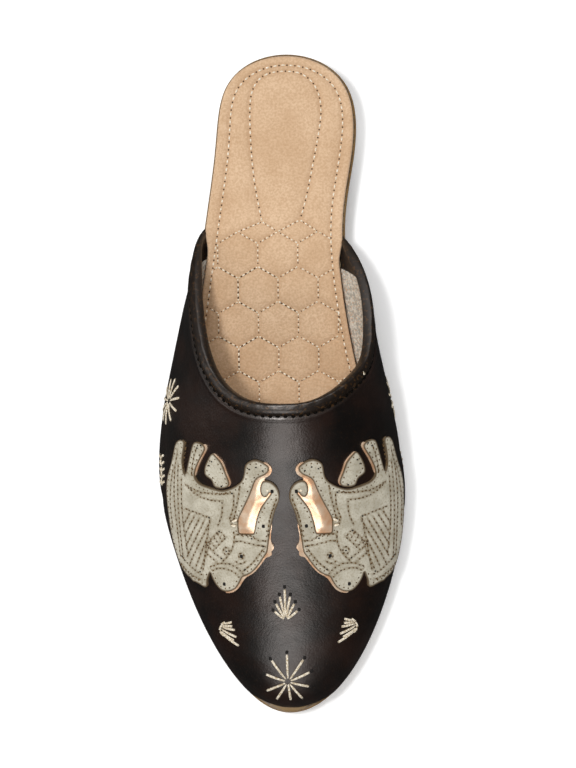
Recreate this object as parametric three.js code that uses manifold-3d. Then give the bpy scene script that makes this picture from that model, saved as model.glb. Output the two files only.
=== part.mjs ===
// A woman's right mule with a pointed, closed toe: a moulded low-wedge sole, a quilted insole and
// a soft leather upper that bulges over the sole's rim.
// Millimetres. +Z is up, +Y runs from the toe to the heel, +X is the inner (medial) side of the foot.
// The origin is on the floor, below the middle of the shoe's box.

import * as THREE from "three";
import { mergeVertices } from "three/addons/utils/BufferGeometryUtils.js";
import Module from "manifold-3d";

const wasm = await Module();
wasm.setup();

// Driving sizes

const LENGTH = 250;
const TOE_Y = -LENGTH / 2;
const AXIS_X = 2.7; // the line from toe tip to heel, which the outline's half widths are taken from
const FIT_GAP = 0.3;

const SEAT_AT_TOE = 13;
const TOE_SPRING = 7.5; // how far the tread lifts off the floor at the toe tip
const TOE_LIFT_SHARE = 0.24; // where the tread leaves the floor
const ARCH_RISE = 2.6; // how far the waist has risen where it meets the heel block
const ARCH_FRONT_SHARE = 0.455;
const BREAST_SHARE = 0.785; // the front of the heel block
const ARCH_STEPS = 12;

const RIM_BAND = 3; // height of the proud band around the top of the sole
const RIM_STEP = 0.9;
const RIM_ROUND = 0.6;
const WALL_INSET_FOREFOOT = 1.6;
const WALL_INSET_HEEL = 3.2;
const TREAD_EDGE = 1.2;
const CUT_PAST = 1; // how far a cutter runs past the face that it cuts

const HEEL_GROOVES = 9;
const HEEL_GROOVE_PITCH = 4.9;
const HEEL_GROOVE_WIDTH = 1.1;
const HEEL_GROOVE_DEPTH = 1.2;
const HEEL_GROOVE_FIRST_Y = 75.5;
const HEEL_GROOVE_MARGIN = 8.5;
const WAIST_PANEL_DEPTH = 0.8;
const WAIST_PANEL_INSET = 9.5;
const WAIST_PANEL_FROM_SHARE = 0.475;
const WAIST_PANEL_TO_SHARE = 0.772;

const INSOLE_THICKNESS = 3;
const INSOLE_EDGE_ROUND = 0.8;
const INSOLE_INSET_HEEL = 1;
const INSOLE_CLEARANCE = 0.4; // from the insole's edge to the upper's wall
const INSOLE_CLEARANCE_AT_TOE = 1.4;
const INSOLE_TOE_SHARE = 0.2;
const INSOLE_WIDENS_FROM_SHARE = 0.004; // behind the end of the topline
const INSOLE_WIDENS_OVER_SHARE = 0.04;

const UPPER_WALL = 1.8; // leather and lining
const LEDGE = 0.5; // rim left showing outside the foot of the upper
const LEDGE_EXTRA_AT_TOE = 2.5;
const LEDGE_TOE_SHARE = 0.05;
const BULGE_HANDLE = { lateral: 3.2, medial: 2.7 }; // curve handle for each millimetre of bulge

const OUTLINE_STEPS = 52;
const UPPER_STEPS_ALONG = 26;
const UPPER_STEPS_ACROSS = 36;
const SQUARE_FROM_LEVEL = 0.16; // the wall's thickness runs level at its foot and square to it from here
const SQUARE_FROM_STATION = 0.06;

// The sole rim's half widths from the axis, by share of the length from the toe
const RIM = [
  { share: 0, lateral: 0, medial: 0 },
  { share: 0.05, lateral: -20, medial: 21 },
  { share: 0.15, lateral: -34.4, medial: 33.4 },
  { share: 0.25, lateral: -42.9, medial: 37.4 },
  { share: 0.35, lateral: -46.2, medial: 37.2 },
  { share: 0.45, lateral: -43.8, medial: 33.2 },
  { share: 0.55, lateral: -38.8, medial: 27.5 },
  { share: 0.65, lateral: -34.6, medial: 23.4 },
  { share: 0.75, lateral: -30.8, medial: 22.2 },
  { share: 0.85, lateral: -27.2, medial: 25.8 },
  { share: 0.95, lateral: -22.8, medial: 23.3 },
  { share: 1, lateral: 0, medial: 0 },
];

// Height of the seat that the insole lies on
const SEAT = [
  { share: 0, height: SEAT_AT_TOE },
  { share: 0.1, height: 9.4 },
  { share: 0.2, height: 7.8 },
  { share: 0.33, height: 7.5 },
  { share: 0.45, height: 9 },
  { share: 0.55, height: 11.6 },
  { share: 0.65, height: 14.6 },
  { share: 0.75, height: 17.2 },
  { share: 0.85, height: 19 },
  { share: 1, height: 20 },
];

// The upper's cross sections: where the ridge lies and how far it rises over the foot of the wall
const RIDGE = [
  { share: 0, offset: 0, rise: 0 },
  { share: 0.05, offset: 0, rise: 15.6 },
  { share: 0.15, offset: -0.2, rise: 26 },
  { share: 0.25, offset: -0.6, rise: 34.2 },
  { share: 0.35, offset: -1, rise: 43 },
  { share: 0.45, offset: -0.6, rise: 52.4 },
  { share: 0.55, offset: -0.3, rise: 58.5 },
  { share: 0.65, offset: 0, rise: 61 },
  { share: 0.75, offset: 0, rise: 61 },
];

// The two sides of each section: bulge is how far the wall stands out past its foot, and wall and crown
// are the lengths of the curve handles at the foot and at the ridge, as shares of the rise and the width.
const SIDES = {
  lateral: [
    { share: 0, bulge: 0, wall: 0.56, crown: 0.56 },
    { share: 0.05, bulge: 0.6, wall: 0.5, crown: 0.56 },
    { share: 0.15, bulge: 1.4, wall: 0.42, crown: 0.58 },
    { share: 0.25, bulge: 2.3, wall: 0.34, crown: 0.6 },
    { share: 0.35, bulge: 4.2, wall: 0.28, crown: 0.62 },
    { share: 0.45, bulge: 5.1, wall: 0.23, crown: 0.6 },
    { share: 0.55, bulge: 5.0, wall: 0.2, crown: 0.57 },
    { share: 0.65, bulge: 3.9, wall: 0.18, crown: 0.53 },
    { share: 0.75, bulge: 2.2, wall: 0.18, crown: 0.53 },
  ],
  medial: [
    { share: 0, bulge: 0, wall: 0.56, crown: 0.56 },
    { share: 0.05, bulge: 1, wall: 0.52, crown: 0.58 },
    { share: 0.15, bulge: 2.6, wall: 0.46, crown: 0.64 },
    { share: 0.25, bulge: 5.9, wall: 0.4, crown: 0.7 },
    { share: 0.35, bulge: 7.9, wall: 0.36, crown: 0.74 },
    { share: 0.45, bulge: 8, wall: 0.32, crown: 0.78 },
    { share: 0.55, bulge: 8.1, wall: 0.3, crown: 0.8 },
    { share: 0.65, bulge: 7.4, wall: 0.3, crown: 0.8 },
    { share: 0.75, bulge: 1.6, wall: 0.3, crown: 0.8 },
  ],
};

// The topline: the share of the length that it reaches at each level, from the foot (0) to the ridge (1)
const TOPLINE = [
  { level: 0, lateral: 0.738, medial: 0.722 },
  { level: 0.15, lateral: 0.714, medial: 0.694 },
  { level: 0.3, lateral: 0.669, medial: 0.632 },
  { level: 0.45, lateral: 0.603, medial: 0.548 },
  { level: 0.6, lateral: 0.529, medial: 0.508 },
  { level: 0.75, lateral: 0.484, medial: 0.483 },
  { level: 0.9, lateral: 0.469, medial: 0.469 },
  { level: 1, lateral: 0.468, medial: 0.468 },
];

// Stations and smooth columns

// Even-angle station of a share of the length: stations crowd at both ends, so the ends come out round.
const stationOf = (share) => Math.acos(1 - 2 * share) / Math.PI;
const shareOf = (station) => (1 - Math.cos(Math.PI * station)) / 2;
const clamp01 = (value) => THREE.MathUtils.clamp(value, 0, 1);
const { lerp, smoothstep } = THREE.MathUtils;

// A natural cubic through one column of a table, as a function of the column named by key. warp maps that
// column to the spacing that the curve is smooth in.
function smoothColumn(rows, column, key = "share", warp = stationOf) {
  const at = rows.map((row) => warp(row[key]));
  const value = rows.map((row) => row[column]);
  const last = rows.length - 1;
  const bend = new Array(rows.length).fill(0);
  const carry = new Array(rows.length).fill(0);
  for (let i = 1; i < last; i++) {
    const before = at[i] - at[i - 1];
    const after = at[i + 1] - at[i];
    const pivot = 2 * (before + after) - before * carry[i - 1];
    const turn = (value[i + 1] - value[i]) / after - (value[i] - value[i - 1]) / before;
    carry[i] = after / pivot;
    bend[i] = (6 * turn - before * bend[i - 1]) / pivot;
  }
  for (let i = last - 1; i > 0; i--) bend[i] -= carry[i] * bend[i + 1];
  return (place) => {
    const station = warp(clamp01(place));
    const next = at.findIndex((x) => x >= station);
    const hi = Math.max(1, next < 0 ? last : next);
    const lo = hi - 1;
    const gap = at[hi] - at[lo];
    const a = (at[hi] - station) / gap;
    const b = 1 - a;
    const curve = ((a ** 3 - a) * bend[lo] + (b ** 3 - b) * bend[hi]) * (gap ** 2 / 6);
    return a * value[lo] + b * value[hi] + curve;
  };
}

const bothSides = (make) => ({ lateral: make("lateral"), medial: make("medial") });
const rim = bothSides((side) => smoothColumn(RIM, side));
const bulge = bothSides((side) => smoothColumn(SIDES[side], "bulge"));
const wallHandle = bothSides((side) => smoothColumn(SIDES[side], "wall"));
const crownHandle = bothSides((side) => smoothColumn(SIDES[side], "crown"));
const topline = bothSides((side) => smoothColumn(TOPLINE, side, "level", (level) => level));
const seatByShare = smoothColumn(SEAT, "height");
const ridgeOffset = smoothColumn(RIDGE, "offset");
const ridgeRise = smoothColumn(RIDGE, "rise");
const OUTWARD = { lateral: -1, medial: 1 };

// Heights along the shoe

const shareAtY = (y) => clamp01((y - TOE_Y) / LENGTH);
const yAtShare = (share) => TOE_Y + LENGTH * share;
const seatAt = (y) => seatByShare(shareAtY(y));

// Underside of the sole: lifted at the toe and flat from the ball to the heel.
const treadAt = (y) => TOE_SPRING * Math.max(0, 1 - shareAtY(y) / TOE_LIFT_SHARE) ** 2;

// Underside of the waist, which rises from the ball to the heel block.
function archAt(y) {
  const along = (shareAtY(y) - ARCH_FRONT_SHARE) / (BREAST_SHARE - ARCH_FRONT_SHARE);
  return ARCH_RISE * Math.sin((clamp01(along) * Math.PI) / 2);
}

// Outline

function rimPoint(side, station) {
  const share = shareOf(station);
  return new THREE.Vector2(AXIS_X + rim[side](share), yAtShare(share));
}

// Outward direction of the rim in plan.
function rimNormal(side, station) {
  const step = 1e-3;
  const ahead = rimPoint(side, Math.min(1, station + step));
  const along = ahead.sub(rimPoint(side, Math.max(0, station - step))).normalize();
  return new THREE.Vector2(along.y, -along.x).multiplyScalar(OUTWARD[side]);
}

function insetPoint(side, station, depth) {
  return rimPoint(side, station).addScaledVector(rimNormal(side, station), -depth);
}

// Width of the rim that shows outside the foot of the upper.
function ledgeAt(share) {
  return LEDGE + LEDGE_EXTRA_AT_TOE * (1 - smoothstep(share, 0, LEDGE_TOE_SHARE));
}

// A closed loop round the shoe, up the medial side and down the lateral one. inset takes a share
// and a side, and heightAt takes the y of the point.
function outlineLoop(stations, inset, heightAt) {
  const point = (side, station) => {
    const p = insetPoint(side, station, inset(shareOf(station), side));
    return new THREE.Vector3(p.x, p.y, heightAt(p.y));
  };
  const up = stations.map((station) => point("medial", station));
  const down = stations.map((station) => point("lateral", station)).reverse();
  return [...up, ...down];
}

const OUTLINE_STATIONS = Array.from({ length: OUTLINE_STEPS + 1 }, (_, i) => i / OUTLINE_STEPS);

// Solids

// Closes a stack of equal loops into one body. The first and last loops are closed by a ladder from each
// point to its partner, counted from the other end of the loop. Loops may shrink to a point or a line.
function loft(loops) {
  const size = loops[0].length;
  const corners = [];
  const quad = (a, b, c, d) => corners.push(a, b, c, a, c, d);
  for (let k = 0; k + 1 < loops.length; k++) {
    for (let i = 0; i < size; i++) {
      const j = (i + 1) % size;
      quad(loops[k][i], loops[k][j], loops[k + 1][j], loops[k + 1][i]);
    }
  }
  const first = loops[0];
  const last = loops[loops.length - 1];
  for (let i = 0; i + 1 < size / 2; i++) {
    const partner = size - 1 - i;
    quad(first[i + 1], first[i], first[partner], first[partner - 1]);
    quad(last[i], last[i + 1], last[partner - 1], last[partner]);
  }
  const made = mergeVertices(new THREE.BufferGeometry().setFromPoints(corners), 1e-3);
  const kept = [];
  const index = made.index.array;
  for (let i = 0; i < index.length; i += 3) {
    const [a, b, c] = index.subarray(i, i + 3);
    if (a !== b && b !== c && c !== a) kept.push(a, b, c);
  }
  return made.setIndex(kept);
}

function solidOf(geometry) {
  const bare = new THREE.BufferGeometry().setAttribute("position", geometry.getAttribute("position"));
  if (geometry.index) bare.setIndex(geometry.index);
  const merged = mergeVertices(bare, 1e-3);
  return new wasm.Manifold(
    new wasm.Mesh({
      numProp: 3,
      vertProperties: merged.attributes.position.array,
      triVerts: new Uint32Array(merged.index.array),
    }),
  );
}

function geometryOf(solid) {
  const mesh = solid.getMesh();
  return new THREE.BufferGeometry()
    .setAttribute("position", new THREE.BufferAttribute(mesh.vertProperties, 3))
    .setIndex(new THREE.BufferAttribute(mesh.triVerts, 1));
}

// Sole unit: rim band, wall that leans in towards the floor, heel block, grooves and waist panel

function soleBlank() {
  const wallInset = (share) =>
    lerp(WALL_INSET_FOREFOOT, WALL_INSET_HEEL, smoothstep(share, ARCH_FRONT_SHARE, BREAST_SHARE));
  const level = (inset, heightAt) => outlineLoop(OUTLINE_STATIONS, inset, heightAt);
  return loft([
    level((share) => wallInset(share) + TREAD_EDGE, treadAt),
    level(wallInset, (y) => treadAt(y) + TREAD_EDGE),
    level(() => RIM_STEP, (y) => seatAt(y) - RIM_BAND),
    level(() => 0, (y) => seatAt(y) - RIM_BAND + RIM_STEP / 2),
    level(() => 0, (y) => seatAt(y) - RIM_ROUND),
    level(() => RIM_ROUND, seatAt),
  ]);
}

// What is cut away under the waist, from the ball to the upright front of the heel block.
function archCutter() {
  const from = yAtShare(ARCH_FRONT_SHARE);
  const to = yAtShare(BREAST_SHARE);
  const profile = new THREE.Shape().moveTo(from, -CUT_PAST).lineTo(to, -CUT_PAST);
  for (let i = ARCH_STEPS; i >= 0; i--) {
    const y = lerp(from, to, i / ARCH_STEPS);
    profile.lineTo(y, archAt(y));
  }
  const cutter = new THREE.ExtrudeGeometry(profile, { depth: LENGTH, bevelEnabled: false, steps: 1 });
  // Turns the profile's own axes to +Y and +Z, and the extrusion to +X.
  return cutter.translate(0, 0, -LENGTH / 2).rotateY(Math.PI / 2).rotateX(Math.PI / 2);
}

// The sunk panel under the waist.
function waistPanelCutter() {
  const from = stationOf(WAIST_PANEL_FROM_SHARE);
  const to = stationOf(WAIST_PANEL_TO_SHARE);
  const stations = Array.from({ length: ARCH_STEPS + 1 }, (_, i) => lerp(from, to, i / ARCH_STEPS));
  const loopAt = (heightAt) => outlineLoop(stations, () => WAIST_PANEL_INSET, heightAt);
  return loft([loopAt(() => -CUT_PAST), loopAt((y) => archAt(y) + WAIST_PANEL_DEPTH)]);
}

// One groove across the heel block, as long as the heel is wide there.
function heelGrooveCutter(index) {
  const y = HEEL_GROOVE_FIRST_Y + index * HEEL_GROOVE_PITCH;
  const station = stationOf(shareAtY(y + HEEL_GROOVE_PITCH / 2));
  const from = insetPoint("lateral", station, HEEL_GROOVE_MARGIN).x;
  const to = insetPoint("medial", station, HEEL_GROOVE_MARGIN).x;
  const depth = 2 * HEEL_GROOVE_DEPTH;
  return new THREE.BoxGeometry(to - from, HEEL_GROOVE_WIDTH, depth).translate((from + to) / 2, y, 0);
}

function soleGeometry() {
  const grooves = Array.from({ length: HEEL_GROOVES }, (_, i) => heelGrooveCutter(i));
  const cutters = [archCutter(), waistPanelCutter(), ...grooves];
  const cut = (sole, cutter) => sole.subtract(solidOf(cutter));
  return geometryOf(cutters.reduce(cut, solidOf(soleBlank())));
}

// Insole: lies on the seat, out to the rim at the heel and just inside the upper in front

function insoleInset(share, side) {
  const behindToe = smoothstep(share, 0, INSOLE_TOE_SHARE);
  const clearance = lerp(INSOLE_CLEARANCE_AT_TOE, INSOLE_CLEARANCE, behindToe);
  const widensFrom = TOPLINE[0][side] + INSOLE_WIDENS_FROM_SHARE;
  const behindUpper = smoothstep(share, widensFrom, widensFrom + INSOLE_WIDENS_OVER_SHARE);
  return lerp(ledgeAt(share) + UPPER_WALL + clearance, INSOLE_INSET_HEEL, behindUpper);
}

function insoleGeometry() {
  const under = (y) => seatAt(y) + FIT_GAP;
  const level = (extra, height) =>
    outlineLoop(OUTLINE_STATIONS, (share, side) => insoleInset(share, side) + extra, (y) => under(y) + height);
  return loft([
    level(0, 0),
    level(0, INSOLE_THICKNESS - INSOLE_EDGE_ROUND),
    level(INSOLE_EDGE_ROUND, INSOLE_THICKNESS),
  ]);
}

// Upper: a wall round the last, from the foot on the rim over the instep to the topline

function footPoint(side, station) {
  const p = insetPoint(side, station, ledgeAt(shareOf(station)));
  return new THREE.Vector3(p.x, p.y, seatAt(p.y) + FIT_GAP);
}

// Half of a cross section, from the foot on one side to the ridge.
function halfSection(side, station) {
  const share = shareOf(station);
  const foot = footPoint(side, station);
  const across = footPoint(side === "lateral" ? "medial" : "lateral", station);
  const rise = ridgeRise(share);
  const ridge = foot.clone().lerp(across, 0.5);
  ridge.x = AXIS_X + ridgeOffset(share);
  ridge.z += rise;
  const out = rimNormal(side, station).multiplyScalar(BULGE_HANDLE[side] * bulge[side](share));
  const overFoot = foot.clone().add(new THREE.Vector3(out.x, out.y, rise * wallHandle[side](share)));
  const besideRidge = ridge.clone();
  besideRidge.x = lerp(ridge.x, foot.x, crownHandle[side](share));
  return new THREE.CubicBezierCurve3(foot, overFoot, besideRidge, ridge);
}

// The side that a line along the upper lies on, and its level from the foot to the ridge. across is 0 at
// the lateral foot, 0.5 on the ridge and 1 at the medial foot.
const sideOf = (across) => (across <= 0.5 ? "lateral" : "medial");
const levelOf = (across) => 2 * Math.min(across, 1 - across);

function outerPoint(station, across) {
  return halfSection(sideOf(across), station).getPoint(levelOf(across));
}

// Share of the length where a line along the upper ends at the topline.
const toplineShare = (across) => topline[sideOf(across)](levelOf(across));

// Direction into the shoe: level at the foot of the wall, square to the leather above it.
function inwardAt(station, across) {
  const step = 2e-3;
  const alongStation = Math.max(station, step);
  const ahead = outerPoint(alongStation + step, across).sub(outerPoint(alongStation - step, across));
  const lo = Math.max(0, across - step);
  const hi = Math.min(1, across + step);
  const over = outerPoint(alongStation, hi).sub(outerPoint(alongStation, lo));
  const square = ahead.cross(over).normalize();
  const plan = rimNormal(sideOf(across), station);
  const flat = new THREE.Vector3(-plan.x, -plan.y, 0);
  const aboveFoot = smoothstep(levelOf(across), 0, SQUARE_FROM_LEVEL);
  const behindToe = smoothstep(station, 0, SQUARE_FROM_STATION);
  return flat.lerp(square, aboveFoot * behindToe).normalize();
}

function upperGeometry() {
  const acrossSteps = Array.from({ length: UPPER_STEPS_ACROSS + 1 }, (_, i) => i / UPPER_STEPS_ACROSS);
  const loops = [];
  for (let k = 0; k <= UPPER_STEPS_ALONG; k++) {
    const stationAt = (across) => (stationOf(toplineShare(across)) * k) / UPPER_STEPS_ALONG;
    const outer = acrossSteps.map((across) => outerPoint(stationAt(across), across));
    const inner = acrossSteps.map((across, i) =>
      outer[i].clone().addScaledVector(inwardAt(stationAt(across), across), UPPER_WALL),
    );
    loops.push([...outer, ...inner.reverse()]);
  }
  return loft(loops);
}

// Assembly

const finish = (color, roughness) => new THREE.MeshStandardMaterial({ color, roughness, metalness: 0 });

function piece(name, geometry, material) {
  const mesh = new THREE.Mesh(geometry, material);
  mesh.name = name;
  return mesh;
}

const mule = new THREE.Group();
mule.add(
  piece("sole", soleGeometry(), finish(0x7d5d2c, 0.6)),
  piece("insole", insoleGeometry(), finish(0xd2ad8a, 0.9)),
  piece("upper", upperGeometry(), finish(0x1d1512, 0.45)),
);

export default mule;
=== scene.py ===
# %% [markdown]
# # A leather mule with two appliqué elephants
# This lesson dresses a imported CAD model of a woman's right mule. The CAD gives three closed solids,
# the sole, the insole and the upper, with the right shapes and sizes. Here each of them gets a
# finer mesh on the same surfaces, and then the sewing, the appliqué, the tread and the finishes.
# Shapes are worked out in millimetres and written to meshes in metres.

# %% Load the frame
import math

import bmesh
import bpy
import numpy as np
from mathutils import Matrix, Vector


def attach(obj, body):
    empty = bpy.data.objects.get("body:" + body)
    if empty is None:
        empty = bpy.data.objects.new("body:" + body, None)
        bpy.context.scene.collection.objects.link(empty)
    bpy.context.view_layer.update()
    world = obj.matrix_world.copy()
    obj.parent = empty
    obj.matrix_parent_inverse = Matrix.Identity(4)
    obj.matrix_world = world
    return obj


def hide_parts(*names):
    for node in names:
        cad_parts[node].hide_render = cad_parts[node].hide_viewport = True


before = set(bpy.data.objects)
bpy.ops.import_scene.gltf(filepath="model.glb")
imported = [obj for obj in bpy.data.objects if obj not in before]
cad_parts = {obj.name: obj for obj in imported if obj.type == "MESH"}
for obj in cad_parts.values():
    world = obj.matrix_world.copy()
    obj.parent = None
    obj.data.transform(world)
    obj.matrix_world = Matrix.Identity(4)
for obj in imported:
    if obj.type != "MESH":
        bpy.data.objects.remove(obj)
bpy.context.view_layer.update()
MM = 0.001

# %% [markdown]
# ## The shapes that every piece follows
# A last, the wooden foot that a shoe is built on, fixes all of a shoe's surfaces at once: the
# outline of the sole, the height of the seat, and the cross sections of the upper. Sculpting each
# piece by eye would let them drift apart, so the last is a few short tables with smooth curves
# through them, the same ones as in the CAD. Stations are places along the shoe that crowd together
# at its two ends, which keeps the ends round.

# %% Smooth curves through a few measured places
LENGTH = 250
TOE_Y = -LENGTH / 2


def station_of(share):
    return np.arccos(1 - 2 * np.clip(share, 0, 1)) / np.pi


def share_of(station):
    return (1 - np.cos(np.pi * np.asarray(station, float))) / 2


def share_at(y):
    return np.clip((np.asarray(y, float) - TOE_Y) / LENGTH, 0, 1)


def soft_step(value, start, end):
    t = np.clip((np.asarray(value, float) - start) / (end - start), 0, 1)
    return t * t * (3 - 2 * t)


def blend(first, second, share):
    return first + (second - first) * share


def bell(distance, half_width):
    """1 on a line, fading softly to 0 on both sides of it."""
    return np.exp(-((distance / half_width) ** 2))


def smooth_line(at, value):
    """A natural cubic through the values, as a function of the place along them."""
    at = np.asarray(at, float)
    value = np.asarray(value, float)
    gap = np.diff(at)
    slope = np.diff(value) / gap
    joints = np.eye(len(at))
    turn = np.zeros(len(at))
    for i in range(1, len(at) - 1):
        joints[i, i - 1 : i + 2] = gap[i - 1], 2 * (gap[i - 1] + gap[i]), gap[i]
        turn[i] = 6 * (slope[i] - slope[i - 1])
    bend = np.linalg.solve(joints, turn)

    def curve(place):
        place = np.clip(place, at[0], at[-1])
        high = np.clip(np.searchsorted(at, place), 1, len(at) - 1)
        low = high - 1
        width = at[high] - at[low]
        a = (at[high] - place) / width
        b = 1 - a
        lift = ((a**3 - a) * bend[low] + (b**3 - b) * bend[high]) * width**2 / 6
        return a * value[low] + b * value[high] + lift

    return curve


def along_shoe(share, value):
    return smooth_line(station_of(np.array(share, float)), value)


quarters = station_of(np.array([0.25, 0.5, 0.75]))
print("stations at the quarters of the length:", quarters.round(3).tolist())

# %% The outline of the sole and the seat
AXIS_X = 2.7
OUTWARD = {"lateral": -1, "medial": 1}
FINE_STEP = 1e-3
RIM_SHARE = (0, 0.05, 0.15, 0.25, 0.35, 0.45, 0.55, 0.65, 0.75, 0.85, 0.95, 1)
RIM_LATERAL = (0, -20, -34.4, -42.9, -46.2, -43.8, -38.8, -34.6, -30.8, -27.2, -22.8, 0)
RIM_MEDIAL = (0, 21, 33.4, 37.4, 37.2, 33.2, 27.5, 23.4, 22.2, 25.8, 23.3, 0)
rim = {"lateral": along_shoe(RIM_SHARE, RIM_LATERAL), "medial": along_shoe(RIM_SHARE, RIM_MEDIAL)}
SEAT_SHARE = (0, 0.1, 0.2, 0.33, 0.45, 0.55, 0.65, 0.75, 0.85, 1)
seat_line = along_shoe(SEAT_SHARE, (13, 9.4, 7.8, 7.5, 9, 11.6, 14.6, 17.2, 19, 20))
LEDGE = 0.5
LEDGE_EXTRA_AT_TOE = 1.6
LEDGE_TOE_SHARE = 0.035


def seat_height(y):
    return seat_line(station_of(share_at(y)))


def rim_plan(side, station):
    return np.stack([AXIS_X + rim[side](station), TOE_Y + LENGTH * share_of(station)], -1)


def rim_outward(side, station):
    """Square to the outline in plan, and straight ahead or back at its ends, where the sides meet."""
    station = np.asarray(station, float)
    ahead = rim_plan(side, np.minimum(1, station + FINE_STEP))
    along = ahead - rim_plan(side, np.maximum(0, station - FINE_STEP))
    within = (station > 0) & (station < 1)
    across = np.stack([along[..., 1] * within, -along[..., 0]], -1) * OUTWARD[side]
    return across / np.linalg.norm(across, axis=-1, keepdims=True)


def inset_plan(side, station, depth):
    return rim_plan(side, station) - rim_outward(side, station) * np.asarray(depth)[..., None]


def ledge_at(share):
    return LEDGE + LEDGE_EXTRA_AT_TOE * (1 - soft_step(share, 0, LEDGE_TOE_SHARE))


print("seat heights at toe, ball and heel, mm:", [float(seat_height(y).round(1)) for y in (-125, -40, 125)])

# %% The cross sections of the upper
SECTION_SHARE = (0, 0.05, 0.15, 0.25, 0.35, 0.45, 0.55, 0.65, 0.75)
ridge_offset = along_shoe(SECTION_SHARE, (0, 0, -0.2, -0.6, -1, -0.6, -0.3, 0, 0))
ridge_rise = along_shoe(SECTION_SHARE, (0, 15.6, 26, 34.2, 43, 52.4, 58.5, 61, 61))
bulge = {
    "lateral": along_shoe(SECTION_SHARE, (0, 0.6, 1.4, 2.3, 4.2, 5.1, 5, 3.9, 2.2)),
    "medial": along_shoe(SECTION_SHARE, (0, 1, 2.6, 5.9, 7.9, 8, 8.1, 7.4, 1.6)),
}
wall_handle = {
    "lateral": along_shoe(SECTION_SHARE, (0.56, 0.5, 0.42, 0.34, 0.28, 0.23, 0.2, 0.18, 0.18)),
    "medial": along_shoe(SECTION_SHARE, (0.56, 0.52, 0.46, 0.4, 0.36, 0.32, 0.3, 0.3, 0.3)),
}
crown_handle = {
    "lateral": along_shoe(SECTION_SHARE, (0.56, 0.56, 0.58, 0.6, 0.62, 0.6, 0.57, 0.53, 0.53)),
    "medial": along_shoe(SECTION_SHARE, (0.56, 0.58, 0.64, 0.7, 0.74, 0.78, 0.8, 0.8, 0.8)),
}
BULGE_HANDLE = {"lateral": 3.2, "medial": 2.7}
TOPLINE_LEVEL = (0, 0.15, 0.3, 0.45, 0.6, 0.75, 0.9, 1)
topline_share = {
    "lateral": smooth_line(TOPLINE_LEVEL, (0.738, 0.714, 0.669, 0.603, 0.529, 0.484, 0.469, 0.468)),
    "medial": smooth_line(TOPLINE_LEVEL, (0.722, 0.694, 0.632, 0.548, 0.508, 0.483, 0.469, 0.468)),
}
BALL_SHARE = 0.35
print("ridge above the seat at the ball, mm:", float(ridge_rise(station_of(BALL_SHARE)).round(1)))

# %% Points of the last
SIDES = ("lateral", "medial")
FIT_GAP = 0.3
TINY = 1e-12


def on_side(across, lateral, medial):
    """Picks each point from its own side; across is 0 at the lateral foot and 1 at the medial one."""
    chosen = np.asarray(across) <= 0.5
    return np.where(chosen[..., None] if lateral.ndim > chosen.ndim else chosen, lateral, medial)


def level_of(across):
    return 2 * np.minimum(across, 1 - np.asarray(across, float))


def foot_point(side, station):
    plan = inset_plan(side, station, ledge_at(share_of(station)))
    return np.concatenate([plan, (seat_height(plan[..., 1]) + FIT_GAP)[..., None]], -1)


def half_section(side, station, level):
    other = SIDES[1 - SIDES.index(side)]
    foot = foot_point(side, station)
    rise = ridge_rise(station)
    ridge = (foot + foot_point(other, station)) / 2
    ridge[..., 0] = AXIS_X + ridge_offset(station)
    ridge[..., 2] += rise
    push = BULGE_HANDLE[side] * bulge[side](station)
    over_foot = foot.copy()
    over_foot[..., :2] += rim_outward(side, station) * push[..., None]
    over_foot[..., 2] += rise * wall_handle[side](station)
    by_ridge = ridge.copy()
    by_ridge[..., 0] += (foot[..., 0] - ridge[..., 0]) * crown_handle[side](station)
    t = np.asarray(level)[..., None]
    s = 1 - t
    return s**3 * foot + 3 * s**2 * t * over_foot + 3 * s * t**2 * by_ridge + t**3 * ridge


def last_point(station, across):
    station, across = np.broadcast_arrays(np.asarray(station, float), np.asarray(across, float))
    level = level_of(across)
    return on_side(across, *(half_section(side, station, level) for side in SIDES))


def topline_station(across):
    level = level_of(across)
    return station_of(on_side(across, *(topline_share[side](level) for side in SIDES)))


def unit(vectors):
    return vectors / np.maximum(np.linalg.norm(vectors, axis=-1, keepdims=True), TINY)


def out_of_last(station, across):
    """Square to the last's surface, pointing out of the shoe."""
    step = 2 * FINE_STEP
    station, across = np.broadcast_arrays(np.maximum(station, step), np.asarray(across, float))
    ahead = last_point(station + step, across) - last_point(station - step, across)
    over = last_point(station, np.minimum(1, across + step))
    over -= last_point(station, np.maximum(0, across - step))
    return unit(np.cross(over, ahead))


throat = last_point(topline_station(0.5), 0.5)
print("throat of the topline, mm:", throat.round(1).tolist())

# %% [markdown]
# ## The stage
# The mule is seen from almost straight above, on white. A small key light on the left lets the
# upper's wall shade the insole, soft ones overhead and behind the heel fill that shade, a wide one
# over the toe draws a grey band down the vamp, and a weak one on the left lights the wall there.
# The world itself stays dim and the floor is kept out of the gloss, because either would turn the
# dark leather grey.

# %% Camera and lights
EYE_DISTANCE = 1100
EYE_LEAN = math.radians(2)
PICTURE_TURN = math.radians(0.35)
TARGET = Vector((AXIS_X, 0, 15))
FRAME_HEIGHT = 292
SENSOR = 36


def camera_over(target, distance, lean, turn):
    camera = bpy.data.objects.new("camera", bpy.data.cameras.new("camera"))
    bpy.context.scene.collection.objects.link(camera)
    back = Vector((math.sin(lean), 0, math.cos(lean)))
    camera.location = (target + back * distance) * MM
    camera.rotation_euler = (0, lean, -turn)
    camera.data.sensor_width = SENSOR
    camera.data.lens = SENSOR * distance / FRAME_HEIGHT
    bpy.context.scene.camera = camera


def soft_light(name, place, aim, width, depth, watts):
    lamp = bpy.data.lights.new(name, "AREA")
    lamp.shape = "RECTANGLE"
    lamp.size = width
    lamp.size_y = depth
    lamp.energy = watts
    light = bpy.data.objects.new(name, lamp)
    light.location = place
    light.rotation_euler = (Vector(aim) - Vector(place)).to_track_quat("-Z", "Y").to_euler()
    bpy.context.scene.collection.objects.link(light)


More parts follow.
